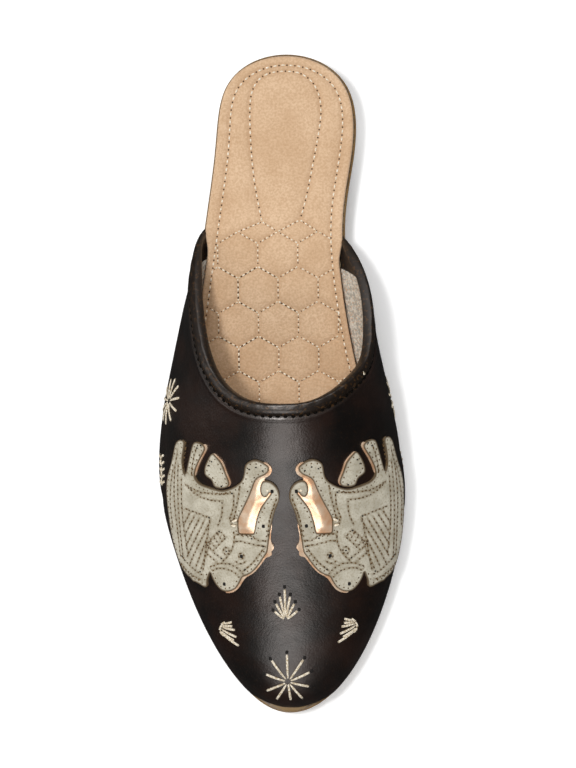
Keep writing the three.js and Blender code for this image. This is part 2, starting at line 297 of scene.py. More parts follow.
# Each light: its name, its place and its aim in metres, its width and depth, and its power in watts
LIGHTS = (
    ("key", (-0.3, 0.12, 1.65), (0, 0, 0), 0.18, 0.18, 11.5),
    ("overhead", (-0.1, 0.15, 1.85), (0, 0, 0), 0.9, 0.9, 9),
    ("over_toe", (-0.08, -1.0, 0.95), (0, -0.05, 0.03), 0.8, 0.5, 5.6),
    ("behind_heel", (0.15, 1.1, 1.3), (0, 0, 0), 0.8, 0.8, 8.8),
    ("left", (-1.2, 0.05, 0.6), (0, 0, 0.02), 0.4, 0.9, 2),
)
WORLD_STRENGTH = 0.035
camera_over(TARGET, EYE_DISTANCE, EYE_LEAN, PICTURE_TURN)
for light in LIGHTS:
    soft_light(*light)
world = bpy.data.worlds.new("studio")
bpy.context.scene.world = world
world.use_nodes = True
background = world.node_tree.nodes["Background"]
background.inputs["Color"].default_value = (1, 1, 1, 1)
background.inputs["Strength"].default_value = WORLD_STRENGTH
bpy.context.scene.view_settings.view_transform = "Standard"

# %% [markdown]
# ## A small language for finishes
# A finish is a net of shader nodes, and wiring one by hand hides the sums in it. Wire stands for a
# node's output, so that Python sums on it add Math nodes, and Finish holds one material with a
# single method that makes any other node from its type, its settings and its sockets.

# %% Colours and wires
SRGB_KNEE = 0.04045
OPAQUE = 1.0


def srgb(red, green, blue):
    """A colour as a picture shows it, from 0 to 255, in the linear light that shaders use."""
    shown = [value / 255 for value in (red, green, blue)]
    light = [v / 12.92 if v <= SRGB_KNEE else ((v + 0.055) / 1.055) ** 2.4 for v in shown]
    return (*light, OPAQUE)


class Wire:
    """A node's output that takes part in Python sums."""

    def __init__(self, finish, socket):
        self.finish = finish
        self.socket = socket

    def maths(self, operation, first, second):
        return self.finish.node("ShaderNodeMath", {"operation": operation}, {0: first, 1: second})

    def __add__(self, other):
        return self.maths("ADD", self, other)

    def __radd__(self, other):
        return self.maths("ADD", other, self)

    def __sub__(self, other):
        return self.maths("SUBTRACT", self, other)

    def __rsub__(self, other):
        return self.maths("SUBTRACT", other, self)

    def __mul__(self, other):
        return self.maths("MULTIPLY", self, other)

    def __rmul__(self, other):
        return self.maths("MULTIPLY", other, self)


print("mid grey in linear light:", round(srgb(128, 128, 128)[0], 3))

# %% Finishes


class Finish:
    """One procedural material: constants go straight on the shader's sockets, the rest comes from nodes."""

    def __init__(self, name, constants=None):
        self.material = bpy.data.materials.new(name)
        self.material.use_nodes = True
        self.tree = self.material.node_tree
        self.shader = self.tree.nodes["Principled BSDF"]
        for socket, value in (constants or {}).items():
            self.plug(self.shader.inputs[socket], value)

    def plug(self, socket, value):
        if isinstance(value, Wire):
            self.tree.links.new(value.socket, socket)
        else:
            socket.default_value = value

    def node(self, kind, settings=None, sockets=None, output=0):
        made = self.tree.nodes.new(kind)
        for name, value in (settings or {}).items():
            setattr(made, name, value)
        for name, value in (sockets or {}).items():
            self.plug(made.inputs[name], value)
        return Wire(self, made.outputs[output])

    def set(self, socket, value):
        self.plug(self.shader.inputs[socket], value)

    def place(self):
        return self.node("ShaderNodeTexCoord", output="Object")

    def attribute(self, name):
        return self.node("ShaderNodeAttribute", {"attribute_name": name}, output="Fac")

    def noise(self, scale, detail=3.0):
        sockets = {"Vector": self.place(), "Scale": scale, "Detail": detail}
        return self.node("ShaderNodeTexNoise", {}, sockets)

    def cells(self, scale):
        return self.node("ShaderNodeTexVoronoi", {}, {"Vector": self.place(), "Scale": scale})

    def step(self, value, start, end):
        sockets = {"Value": value, "From Min": start, "From Max": end}
        return self.node("ShaderNodeMapRange", {"interpolation_type": "SMOOTHSTEP"}, sockets)

    def mix(self, share, first, second):
        colours = {"Factor": share, 6: first, 7: second}
        return self.node("ShaderNodeMix", {"data_type": "RGBA"}, colours, output=2)

    def bump(self, height, depth, strength=1.0):
        """Tilts the surface by a height from 0 to 1 over a real depth in millimetres."""
        sockets = {"Height": height, "Distance": depth * MM, "Strength": strength}
        self.set("Normal", self.node("ShaderNodeBump", {}, sockets))


# %% The floor's finish
FLOOR_GLOW = 0.22
WHITE = srgb(255, 255, 255)
OFF_WHITE = srgb(250, 250, 250)
floor_constants = {"Roughness": 0.7, "Emission Color": WHITE, "Emission Strength": FLOOR_GLOW}
floor_finish = Finish("pale_floor", floor_constants)
floor_finish.set("Base Color", floor_finish.mix(floor_finish.noise(3.0), OFF_WHITE, WHITE))
print("the floor's finish has", len(floor_finish.tree.nodes), "nodes")

# %% [markdown]
# ## Making pieces
# Every sheet on the shoe, from the upper to the lining, is a flat grid that a function bends into
# place. The grid comes from one operator, and only its vertices are moved, so the faces stay evenly
# laid and easy to shade. A finished mesh is written at the origin and rides on the shoe's one body.

# %% Grids and pieces
MERGE = 1e-6


def flat_grid(columns, rows):
    """A unit grid with each vertex's place across it and along it, from 0 to 1."""
    bm = bmesh.new()
    bmesh.ops.create_grid(bm, x_segments=columns, y_segments=rows, size=0.5)
    flat = np.array([vertex.co[:2] for vertex in bm.verts]) + 0.5
    return bm, flat[:, 0], flat[:, 1]


def move_vertices(bm, points):
    for vertex, point in zip(bm.verts, points * MM):
        vertex.co = point


def mark(bm, name, values):
    """Keeps a number at each vertex, for the finish to read."""
    layer = bm.verts.layers.float.new(name)
    for vertex, value in zip(bm.verts, values):
        vertex[layer] = value


def close_up(bm):
    """Merges what touches, drops what has no size, and turns every face outwards."""
    bmesh.ops.remove_doubles(bm, verts=bm.verts[:], dist=MERGE)
    bmesh.ops.dissolve_degenerate(bm, edges=bm.edges[:], dist=MERGE)
    bmesh.ops.recalc_face_normals(bm, faces=bm.faces[:])


def finished_piece(name, bm, finish, stands_for=None, sharp=None):
    mesh = bpy.data.meshes.new(name)
    bm.to_mesh(mesh)
    bm.free()
    mesh.shade_smooth()
    if sharp is not None:
        mesh.set_sharp_from_angle(angle=math.radians(sharp))
    mesh.materials.append(finish.material)
    piece = bpy.data.objects.new(name, mesh)
    bpy.context.scene.collection.objects.link(piece)
    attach(piece, "root")
    if stands_for:
        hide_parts(stands_for)
    print(name, "has", sum(len(face.vertices) - 2 for face in mesh.polygons), "triangles")
    return piece


# %% The floor
FLOOR_SIZE = 6
FLOOR_CELLS = 4
floor_mesh, _, _ = flat_grid(FLOOR_CELLS, FLOOR_CELLS)
bmesh.ops.scale(floor_mesh, verts=floor_mesh.verts[:], vec=(FLOOR_SIZE, FLOOR_SIZE, 1))
floor = finished_piece("floor", floor_mesh, floor_finish)
floor.visible_glossy = False

# %% [markdown]
# ## The upper
# The upper is one soft piece of near-black brown leather, lasted over the toe and open behind the
# instep. Its top edge is folded over and turned in, which leaves a rolled rim with a row of
# stitches sunk beside it. A plain offset shell would look moulded, so the outer face is lifted and
# sunk: the rolled edge, two long folds under it on the outer side, and a few dents near the
# sole, as soft troughs and ridges.

# %% Folds and the topline
# Each fold: its side, its height (below 0 it sinks), its half width, and its places as (share, level)
FOLDS = (
    ("lateral", -0.6, 2.0, ((0.69, 0.27), (0.64, 0.39), (0.585, 0.51), (0.545, 0.61))),
    ("lateral", 0.4, 2.4, ((0.675, 0.22), (0.62, 0.35), (0.56, 0.47), (0.525, 0.57))),
    ("lateral", -0.4, 2.8, ((0.655, 0.17), (0.595, 0.3), (0.535, 0.42), (0.5, 0.52))),
    ("medial", -0.9, 2.2, ((0.375, 0.1), (0.36, 0.14))),
    ("medial", 0.5, 3.0, ((0.39, 0.17), (0.35, 0.2), (0.32, 0.19))),
    ("medial", -0.5, 2.6, ((0.45, 0.12), (0.41, 0.19), (0.37, 0.27))),
    ("medial", -0.4, 3.0, ((0.64, 0.2), (0.57, 0.26), (0.51, 0.3))),
    ("lateral", -0.45, 2.6, ((0.36, 0.1), (0.33, 0.18), (0.31, 0.28))),
    ("lateral", 0.3, 6.0, ((0.47, 0.3), (0.44, 0.42))),
    ("medial", 0.3, 7.0, ((0.46, 0.42), (0.43, 0.5))),
)
FOLD_POINTS = 28
POINTS_AT_ONCE = 2000
TOPLINE_SAMPLES = 420


def nearest_gap(points, line):
    """How far each point is from the nearest point of a line."""
    flat = points.reshape(-1, points.shape[-1])
    parts = np.array_split(flat, 1 + len(flat) // POINTS_AT_ONCE)
    gaps = [np.linalg.norm(part[:, None] - line, axis=-1).min(1) for part in parts]
    return np.concatenate(gaps).reshape(points.shape[:-1])


def fold_line(side, places):
    steps = np.linspace(0, len(places) - 1, FOLD_POINTS)
    share, level = (np.interp(steps, range(len(places)), column) for column in zip(*places))
    return last_point(station_of(share), level / 2 if side == "lateral" else 1 - level / 2)


TOPLINE_ACROSS = np.linspace(0, 1, TOPLINE_SAMPLES)
topline_points = last_point(topline_station(TOPLINE_ACROSS), TOPLINE_ACROSS)
fold_lines = [(height, width, fold_line(side, places)) for side, height, width, places in FOLDS]
topline_length = np.linalg.norm(np.diff(topline_points, axis=0), axis=1).sum()
print("length of the topline, mm:", round(topline_length))

# %% The outer face of the upper
FOOT_FADE_LEVEL = 0.06
ROLL_WIDTH = 3.4
ROLL_HEIGHT = 0.6
SEAM_FROM_EDGE = 4.0
SEAM_HALF_WIDTH = 0.65
SEAM_DEPTH = 0.5


def edge_gap(station, across):
    return nearest_gap(last_point(station, across), topline_points)


def leather_point(station, across):
    """The outer face of the upper, with its rolled edge and its folds."""
    points = last_point(station, across)
    gap = nearest_gap(points, topline_points)
    half = ROLL_WIDTH / 2
    relief = ROLL_HEIGHT * np.sqrt(np.clip(1 - ((gap - half) / half) ** 2, 0, 1))
    relief -= SEAM_DEPTH * bell(gap - SEAM_FROM_EDGE, SEAM_HALF_WIDTH)
    relief += SEAM_DEPTH / 2 * bell(gap - SEAM_FROM_EDGE - 2 * SEAM_HALF_WIDTH, SEAM_HALF_WIDTH)
    for height, width, line in fold_lines:
        relief += height * bell(nearest_gap(points, line), width)
    level = np.broadcast_to(level_of(across), relief.shape)
    relief *= soft_step(level, 0, FOOT_FADE_LEVEL)
    points = points + out_of_last(station, across) * relief[..., None]
    points[..., 2] -= FIT_GAP * (1 - soft_step(level, 0, FOOT_FADE_LEVEL))
    return points


# %% The thickness of the wall
UPPER_WALL = 1.8
SQUARE_FROM_LEVEL = 0.16
SQUARE_FROM_STATION = 0.06
# The turned-in edge of each side: its extra thickness, and the levels where it starts and where it ends
TURNED_IN = {"lateral": (1.8, (0.1, 0.35), (0.7, 1)), "medial": (1.6, (0, 0.15), (0.6, 1))}
TURNED_IN_WIDTH = 2.4


def into_shoe(station, across):
    """The wall's thickness runs level at its foot and square to the leather above it."""
    plan = on_side(across, *(rim_outward(side, station) for side in SIDES))
    level = np.concatenate([plan, np.zeros((*plan.shape[:-1], 1))], -1)
    square = soft_step(level_of(across), 0, SQUARE_FROM_LEVEL) * soft_step(station, 0, SQUARE_FROM_STATION)
    return -unit(level + (out_of_last(station, across) - level) * square[..., None])


def inner_point(station, across, depth):
    points = last_point(station, across) + into_shoe(station, across) * depth
    points[..., 2] -= FIT_GAP * (1 - soft_step(level_of(across), 0, FOOT_FADE_LEVEL))
    return points


def turned_in(side, level):
    extra, start, end = TURNED_IN[side]
    return extra * soft_step(level, *start) * (1 - soft_step(level, *end))


turned_halfway = [float(turned_in(side, 0.5).round(2)) for side in SIDES]
print("turned-in edge halfway up its sides, mm:", turned_halfway)

# %% The upper's closed wall
UPPER_COLUMNS = 150
FRONT_ROWS = 84
EDGE_ROWS = 16
EDGE_FROM = 0.95
LIP_ROWS = 8
WALL_POLISH = 0.3
POLISH_FROM = 0.3
POLISH_FULL = 0.85
# Each row of the grid has a reach from toe to topline, and a turn from the outer face to the inner one
front = np.linspace(0, EDGE_FROM, FRONT_ROWS, endpoint=False)
edge = np.linspace(EDGE_FROM, 1, EDGE_ROWS, endpoint=False)
outer_rows = np.concatenate([front, edge])
row_reach = np.concatenate([outer_rows, np.ones(LIP_ROWS + 1), outer_rows[::-1]])
lip_turn = np.linspace(0, np.pi, LIP_ROWS + 1)
row_turn = np.concatenate([np.zeros(len(outer_rows)), lip_turn, np.full(len(outer_rows), np.pi)])

upper_mesh, across, along = flat_grid(UPPER_COLUMNS + 2, len(row_reach) - 1)
row = np.rint(along * (len(row_reach) - 1)).astype(int)
column = np.rint(across * (UPPER_COLUMNS + 2)).astype(int)
across = np.clip((column - 1) / UPPER_COLUMNS, 0, 1)
station = topline_station(across) * row_reach[row]
under_foot = (column == 0) | (column == UPPER_COLUMNS + 2)
turn = np.where(under_foot, np.pi, row_turn[row])[:, None]
inward = into_shoe(station, across)
ahead = last_point(station + FINE_STEP, across) - last_point(np.maximum(0, station - FINE_STEP), across)
forward = unit(ahead - inward * (ahead * inward).sum(-1, keepdims=True))
outer = leather_point(station, across)
extra = on_side(across, *(turned_in(side, level_of(across)) for side in SIDES))
extra *= bell(edge_gap(station, across), TURNED_IN_WIDTH)
inner = inner_point(station, across, UPPER_WALL + extra[:, None])
wall = outer * (1 + np.cos(turn)) / 2 + inner * (1 - np.cos(turn)) / 2
wall += forward * np.sin(turn) * UPPER_WALL / 2
move_vertices(upper_mesh, wall)
mark(upper_mesh, "edge_gap", np.where(turn[:, 0] > 0, 0, edge_gap(station, across)))
faces_up = out_of_last(station, across)[:, 2]
polish = np.maximum(soft_step(faces_up, POLISH_FROM, POLISH_FULL), WALL_POLISH * (across < 0.5))
mark(upper_mesh, "polish", polish)
close_up(upper_mesh)
print("open edges on the upper:", sum(not e.is_manifold for e in upper_mesh.edges))

# %% [markdown]
# The leather is dyed nearly black, with a warmer, browner rim where the turned edge is thin and
# rubbed. Its gloss is a soft polish rather than a lacquer: fine grain breaks the light up, and slow
# changes in roughness keep the long highlights from looking like plastic.

# %% Leather finish
LEATHER_DARK = srgb(8, 5, 4)
LEATHER_WARM = srgb(31, 15, 8)
LEATHER_FLECK = srgb(60, 39, 20)
RIM_BROWN = srgb(21, 13, 6)
RIM_RUBBED = srgb(74, 49, 19)


def upper_leather():
    constants = {"Specular Tint": (1, 0.94, 0.9, OPAQUE), "Specular IOR Level": 0.78}
    leather = Finish("upper_leather", constants)
    mottle = leather.noise(55.0, 4.0)
    sway = leather.noise(42.0, 3.0)
    fleck = leather.noise(1150.0, 2.0)
    rub = leather.noise(900.0, 3.0)
    base = leather.mix(leather.step(mottle, 0.35, 0.7), LEATHER_DARK, LEATHER_WARM)
    base = leather.mix(leather.step(fleck, 0.58, 0.74) * 0.25, base, LEATHER_FLECK)
    edge = 1 - leather.step(leather.attribute("edge_gap") + (mottle - 0.5) * 1.5, 3.4, 5.4)
    rim_colour = leather.mix(leather.step(rub, 0.54, 0.68), RIM_BROWN, RIM_RUBBED)
    leather.set("Base Color", leather.mix(edge * 0.85, base, rim_colour))
    dull = 1 - leather.attribute("polish")
    gloss = leather.noise(36.0, 3.0) * 0.22 + leather.noise(170.0) * 0.1
    leather.set("Roughness", 0.2 + dull * 0.2 + gloss)
    grain = leather.cells(1250.0) * 0.6 + leather.noise(2600.0, 2.0) * 0.4
    leather.bump(grain * 0.05 + sway * 0.7, 1.0, 1.0)
    return leather


finished_piece("upper_leather", upper_mesh, upper_leather(), "upper")

# %% [markdown]
# ## The lining
# Inside, the leather is backed with a pale grey cloth that ends just under the turned edge. It
# shows as a sliver on the inner side. A second finish on the upper's inner faces would do for a
# distance view, but a real sheet of its own gives the step at its edge, so it is a bent grid that
# the solidify operator thickens.

# %% Lining sheet
LINING_FROM_EDGE = 3.4
LINING_EXTRA_AT_ENDS = 7.5
LINING_EVEN_LEVEL = 0.46
LINING_THICKNESS = 0.3
LINING_FILLS = 0.9
LINING_FROM = 0.3
LINING_COLUMNS = 110
LINING_ROWS = 64
MM_PER_STATION = LENGTH * math.pi / 2


def back_from_topline(across, distance):
    """The station that lies a distance toward the toe from the topline."""
    end = topline_station(across)
    return end - distance / (MM_PER_STATION * np.sin(np.pi * end))


lining_mesh, across, along = flat_grid(LINING_COLUMNS, LINING_ROWS)
near_ends = 1 - soft_step(level_of(across), 0, LINING_EVEN_LEVEL)
from_edge = LINING_FROM_EDGE + LINING_EXTRA_AT_ENDS * near_ends
station = back_from_topline(across, from_edge) * (LINING_FROM + (1 - LINING_FROM) * along)
move_vertices(lining_mesh, inner_point(station, across, UPPER_WALL + LINING_THICKNESS))
bmesh.ops.recalc_face_normals(lining_mesh, faces=lining_mesh.faces[:])
lining_depth = LINING_FILLS * LINING_THICKNESS * MM
bmesh.ops.solidify(lining_mesh, geom=lining_mesh.faces[:], thickness=-lining_depth)
close_up(lining_mesh)


def lining_cloth():
    cloth = Finish("lining_cloth", {"Roughness": 0.95})
    fleck = cloth.noise(1500.0, 2.0)
    patch = cloth.step(cloth.noise(900.0, 2.0), 0.4, 0.62)
    grey = cloth.mix(patch, srgb(184, 178, 166), srgb(236, 229, 215))
    cloth.set("Base Color", cloth.mix(cloth.step(fleck, 0.52, 0.66) * 0.75, grey, srgb(228, 186, 146)))
    cloth.bump(cloth.cells(1400.0), 0.3, 0.7)
    return cloth


finished_piece("lining", lining_mesh, lining_cloth())

# %% [markdown]
# ## Sewing
# A stitch is a short run of thread that dips into the leather at both ends. Curves with a round
# profile would bend nicely but make heavy meshes by the hundred, so one small sphere is the pattern
# for every stitch: it is stretched along the stitch's path on the surface below, and all the
# stitches of a seam are one mesh.

# %% Threads laid on a surface
THREAD_SIDES = 6
THREAD_RINGS = 6
THREAD_FULLNESS = 0.4
THREAD_FLATNESS = 0.8
NEAR = 0.25


def thread_pattern():
    bm = bmesh.new()
    bmesh.ops.create_uvsphere(bm, u_segments=THREAD_SIDES, v_segments=THREAD_RINGS, radius=1)
    mesh = bpy.data.meshes.new("thread_pattern")
    bm.to_mesh(mesh)
    bm.free()
    return mesh


def surface_frame(surface, a, b):
    """Points of a surface and the directions square to it, by small steps along its two ways."""
    one = surface(a + NEAR, b) - surface(a - NEAR, b)
    two = surface(a, b + NEAR) - surface(a, b - NEAR)
    return surface(a, b), unit(np.cross(one, two))


def lay_threads(starts, ends, surface, radius, lift, flatness=THREAD_FLATNESS, bow=1.0):
    """A mesh of stitches from each start to its end, in the surface's own two coordinates.

    A stitch bows up by its own radius; a needle hole is a flat one that hardly bows.
    """
    pattern = thread_pattern()
    shape = np.array([vertex.co for vertex in pattern.vertices])
    t = (shape[:, 2] + 1) / 2
    ring = np.linalg.norm(shape[:, :2], axis=1)
    swell = ring**THREAD_FULLNESS * radius
    heading = np.where(ring[:, None] > FINE_STEP, shape[:, :2] / np.maximum(ring, FINE_STEP)[:, None], 0)
    starts = np.asarray(starts, float)[:, None]
    ends = np.asarray(ends, float)[:, None]
    path = starts + (ends - starts) * t[:, None]
    points, normals = surface_frame(surface, path[..., 0], path[..., 1])
    run = unit(surface(ends[..., 0], ends[..., 1]) - surface(starts[..., 0], starts[..., 1]))
    aside = np.cross(normals, run)
    dip = lift + bow * radius * (4 * t * (1 - t) - 1)
    spread = aside * (heading[:, :1] * swell[:, None])
    rise = normals * (heading[:, 1:] * swell[:, None] * flatness + dip[:, None])
    bm = bmesh.new()
    for _ in starts:
        bm.from_mesh(pattern)
    bpy.data.meshes.remove(pattern)
    move_vertices(bm, (points + spread + rise).reshape(-1, 3))
    return bm


# %% Thread finishes


def thread_finish(name, dark, light, rough, shine=0.5):
    thread = Finish(name, {"Roughness": rough, "Specular IOR Level": shine})
    ply = thread.noise(1700.0, 2.0)
    thread.set("Base Color", thread.mix(thread.step(ply, 0.3, 0.7), dark, light))
    thread.bump(ply, 0.15, 0.8)
    return thread


quilt_cream = thread_finish("quilt_cream", srgb(216, 198, 166), srgb(252, 245, 230), 0.6)
edge_thread = thread_finish("edge_thread", srgb(4, 3, 2), srgb(15, 10, 6), 0.9, 0.1)
hide_thread = thread_finish("hide_thread", srgb(60, 42, 19), srgb(112, 84, 44), 0.8)
cream_thread = thread_finish("cream_thread", srgb(168, 148, 114), srgb(244, 235, 217), 0.6)
# The next finish paints the shade inside needle holes in the leather as flat dark spots.
needle_hole_shade = thread_finish("needle_hole_shade", srgb(9, 7, 6), srgb(24, 17, 12), 0.9)
# The next finish paints the shade inside the needle holes in the suede as flat brown spots.
suede_hole_shade = thread_finish("suede_hole_shade", srgb(66, 45, 25), srgb(102, 75, 46), 0.95)
print("threads:", [material.name for material in bpy.data.materials if "thread" in material.name])

# %% Stitches beside the rolled edge
EDGE_STITCH_PITCH = 2.8
EDGE_STITCH_LENGTH = 1.9
EDGE_THREAD = 0.52
EDGE_THREAD_LIFT = 0.2
SEAM_ENDS = (0.02, 0.98)
SEAM_SAMPLES = 240
SEARCH_STEPS = 40


def seam_path():
    """Across and station of the line that keeps the seam's distance from the topline."""
    across = np.linspace(*SEAM_ENDS, SEAM_SAMPLES)
    back = np.linspace(0, 4 * SEAM_FROM_EDGE, SEARCH_STEPS)
    stations = back_from_topline(across[:, None], back[None])
    gaps = edge_gap(stations, across[:, None])
    station = [np.interp(SEAM_FROM_EDGE, gap, row) for gap, row in zip(gaps, stations)]
    return np.column_stack([across, station]) * MM_PER_STATION


def on_scaled_last(a, b):
    return leather_point(b / MM_PER_STATION, np.clip(a / MM_PER_STATION, 0, 1))


def run_along(path):
    """The length from the start of a line of points to each of them."""
    return np.concatenate([[0], np.cumsum(np.linalg.norm(np.diff(path, axis=0), axis=1))])


def points_at(path, run, at):
    return np.column_stack([np.interp(at, run, column) for column in path.T])


def even_stitches(path, surface, pitch, length):
    """Like dashes, with the pitch taken along the surface itself."""
    run = run_along(surface(path[:, 0], path[:, 1]))
    at = np.arange(0, run[-1] - length, pitch)
    return points_at(path, run, at), points_at(path, run, at + length)


edge_ends = even_stitches(seam_path(), on_scaled_last, EDGE_STITCH_PITCH, EDGE_STITCH_LENGTH)
edge_sewing = lay_threads(*edge_ends, on_scaled_last, EDGE_THREAD, EDGE_THREAD_LIFT)
finished_piece("edge_stitches", edge_sewing, edge_thread)
print("stitches beside the rolled edge:", len(edge_ends[0]))

# %% A loose end of thread
LOOSE_END = (30.2, 5.6)
LOOSE_TAILS = ((0.9, 1.2), (2.8, 0.5))
LOOSE_THREAD = 0.2
LOOSE_LIFT = 0.5
topline_plan = last_point(topline_station(TOPLINE_ACROSS), TOPLINE_ACROSS)[:, :2]
loose_across = TOPLINE_ACROSS[np.linalg.norm(topline_plan - LOOSE_END, axis=1).argmin()]
loose_station = back_from_topline(loose_across, ROLL_WIDTH / 2)
loose_root = np.array([loose_across, loose_station]) * MM_PER_STATION
loose_starts = np.repeat(loose_root[None], len(LOOSE_TAILS), axis=0)
loose_ends = loose_starts + np.array(LOOSE_TAILS)
loose_sewing = lay_threads(loose_starts, loose_ends, on_scaled_last, LOOSE_THREAD, LOOSE_LIFT)
finished_piece("loose_thread", loose_sewing, cream_thread)

# %% [markdown]
# ## The insole
# The insole is a thin foam pad under peach suede, quilted with a honeycomb in front and a double
# line round the heel. It could be blown up as cloth under pressure, but a pad three millimetres
# thick hardly swells, and the sewn lines are what shape it. So its top is a fine ladder of rungs
# across the shoe, sunk along every seam, and its edge is extruded down from the ladder's
# open side.

# %% The outline of the pad
INSOLE_INSET_HEEL = 1.0
INSOLE_INSET_OUTER_HEEL = 0.6
HEEL_TIP_SHARE = 0.97
INSOLE_CLEARANCE = 0.4
INSOLE_CLEARANCE_AT_TOE = 1.4
INSOLE_TOE_SHARE = 0.2
WIDENS_OVER_SHARE = 0.04


def insole_inset(share, side):
    """The pad is clear of the upper in front, and reaches nearly to the rim behind the topline."""
    past_toe = soft_step(share, 0, INSOLE_TOE_SHARE)
    clearance = blend(INSOLE_CLEARANCE_AT_TOE, INSOLE_CLEARANCE, past_toe)
    inside = ledge_at(share) + UPPER_WALL + clearance
    start = float(topline_share[side](0.0)) - WIDENS_OVER_SHARE
    open_inset = INSOLE_INSET_HEEL
    if side == "lateral":
        at_tip = soft_step(share, HEEL_TIP_SHARE, 1)
        open_inset = blend(INSOLE_INSET_OUTER_HEEL, INSOLE_INSET_HEEL, at_tip)
    return blend(inside, open_inset, soft_step(share, start, start + WIDENS_OVER_SHARE))


ball_insets = [float(insole_inset(BALL_SHARE, side).round(2)) for side in SIDES]
print("inset of the pad at the ball, mm:", ball_insets)

# %% Contour and heel loop
CONTOUR_INSET = 4.3
CONTOUR_INSET_AT_HEEL = 3.4
CONTOUR_DRAWS_IN = (0.85, 0.97)
CONTOUR_SAMPLES = 200
CONTOUR_FROM_SHARE = 0.2
HEEL_LOOP = (
    (-6.6, 61.7), (-9.1, 75.3), (-10.6, 92), (-10.8, 104), (-9.7, 111.4), (-6, 116.4), (1.8, 118.3),
    (8.6, 117.3), (13.2, 113.6), (16, 105), (15.2, 95.6), (12.4, 81), (9.2, 67), (7.8, 62.3),
)
SAMPLE = 0.5
FEWEST_POINTS = 8


def contour_side(side, from_share):
    station = np.linspace(station_of(from_share), 1, CONTOUR_SAMPLES)
    drawn_in = soft_step(share_of(station), *CONTOUR_DRAWS_IN)
    extra = blend(CONTOUR_INSET, CONTOUR_INSET_AT_HEEL, drawn_in)
    return inset_plan(side, station, INSOLE_INSET_HEEL + extra)


def evenly(path, spacing):
    path = np.asarray(path, float)
    run = run_along(path)
    return points_at(path, run, np.linspace(0, run[-1], max(2, int(run[-1] / spacing) + 1)))


def rounded_path(corners, spacing=SAMPLE):
    """A smooth open line through a few places."""
    corners = np.asarray(corners, float)
    run = run_along(corners)
    fine = np.linspace(0, run[-1], max(FEWEST_POINTS, int(run[-1] / spacing)))
    return evenly(np.column_stack([smooth_line(run, column)(fine) for column in corners.T]), spacing)


lateral_contour = contour_side("lateral", CONTOUR_FROM_SHARE)
medial_contour = contour_side("medial", CONTOUR_FROM_SHARE)
outer_contour = evenly(np.concatenate([lateral_contour, medial_contour[::-1]]), SAMPLE)
heel_loop = rounded_path(HEEL_LOOP)
print("contour and heel loop, mm:", [round(len(line) * SAMPLE) for line in (outer_contour, heel_loop)])

# %% Honeycomb
HONEYCOMB_WIDTH = 15.2
HONEYCOMB_CENTRE = (-0.75, 49.2)
HONEYCOMB_ROWS = 10
HONEYCOMB_REACH = 4
CELL_ANGLES = np.radians(30 + 60 * np.arange(6))


def inside_contour(points):
    low = np.interp(points[:, 1], lateral_contour[:, 1], lateral_contour[:, 0])
    high = np.interp(points[:, 1], medial_contour[:, 1], medial_contour[:, 0])
    return (points[:, 0] > low) & (points[:, 0] < high)


def honeycomb_sides():
    """The sides of every cell, once each, as pairs of corners."""
    side = HONEYCOMB_WIDTH / math.sqrt(3)
    found = {}
    for j in range(HONEYCOMB_ROWS):
        for i in range(-HONEYCOMB_REACH, HONEYCOMB_REACH + 1):
            centre_x = HONEYCOMB_CENTRE[0] + HONEYCOMB_WIDTH * (i + 0.5 * (j % 2))
            centre_y = HONEYCOMB_CENTRE[1] - 1.5 * side * j
            round_cell = side * np.column_stack([np.cos(CELL_ANGLES), np.sin(CELL_ANGLES)])
            corners = round_cell + (centre_x, centre_y)
            for pair in zip(corners, np.roll(corners, -1, axis=0)):
                middle = (pair[0] + pair[1]) / 2
                found[tuple(middle.round(1))] = pair
    return list(found.values())


cell_top = HONEYCOMB_CENTRE[1] + HONEYCOMB_WIDTH / math.sqrt(3)
crest = [
    (HONEYCOMB_CENTRE[0] - HONEYCOMB_WIDTH, cell_top), HEEL_LOOP[0], (HONEYCOMB_CENTRE[0], cell_top),
    HEEL_LOOP[-1], (HONEYCOMB_CENTRE[0] + HONEYCOMB_WIDTH, cell_top),
]
honeycomb_seams = [*honeycomb_sides(), *zip(crest[:-1], crest[1:])]
seam_samples = [evenly(pair, SAMPLE) for pair in honeycomb_seams]
seam_samples = [line[inside_contour(line)] for line in seam_samples]
seam_points = np.concatenate([*seam_samples, outer_contour, heel_loop])
print("sewn length on the insole, mm:", round(len(seam_points) * SAMPLE))

# %% Ladders and their rims


def ladder(columns, rungs, inset, height, border=None, lines=0):
    """A sheet of rungs, each with its two stations and its share, and border lines inside its edge."""
    count = columns + 2 * lines
    bm, across, along = flat_grid(count, len(rungs) - 1)
    column = np.rint(across * count).astype(int)
    rung = rungs[np.rint(along * (len(rungs) - 1)).astype(int)]
    share = rung[:, 2]
    line = np.minimum(np.minimum(column, count - column), lines)
    sides = []
    for k, side in enumerate(SIDES):
        depth = inset(share, side)
        if lines:
            depth = np.where(line > 0, border(line, share), depth)
        sides.append(inset_plan(side, rung[:, k], depth))
    part = np.clip((column - lines) / columns, 0, 1)
    plan = sides[0] + (sides[1] - sides[0]) * part[:, None]
    move_vertices(bm, np.column_stack([plan, height(plan[:, 0], plan[:, 1], share)]))
    mark(bm, "station", on_side(across, rung[:, 0], rung[:, 1]))
    mark(bm, "share", share)
    mark(bm, "across", across)
    mark(bm, "tone", np.zeros(len(across)))
    bmesh.ops.remove_doubles(bm, verts=bm.verts[:], dist=MERGE)
    return bm


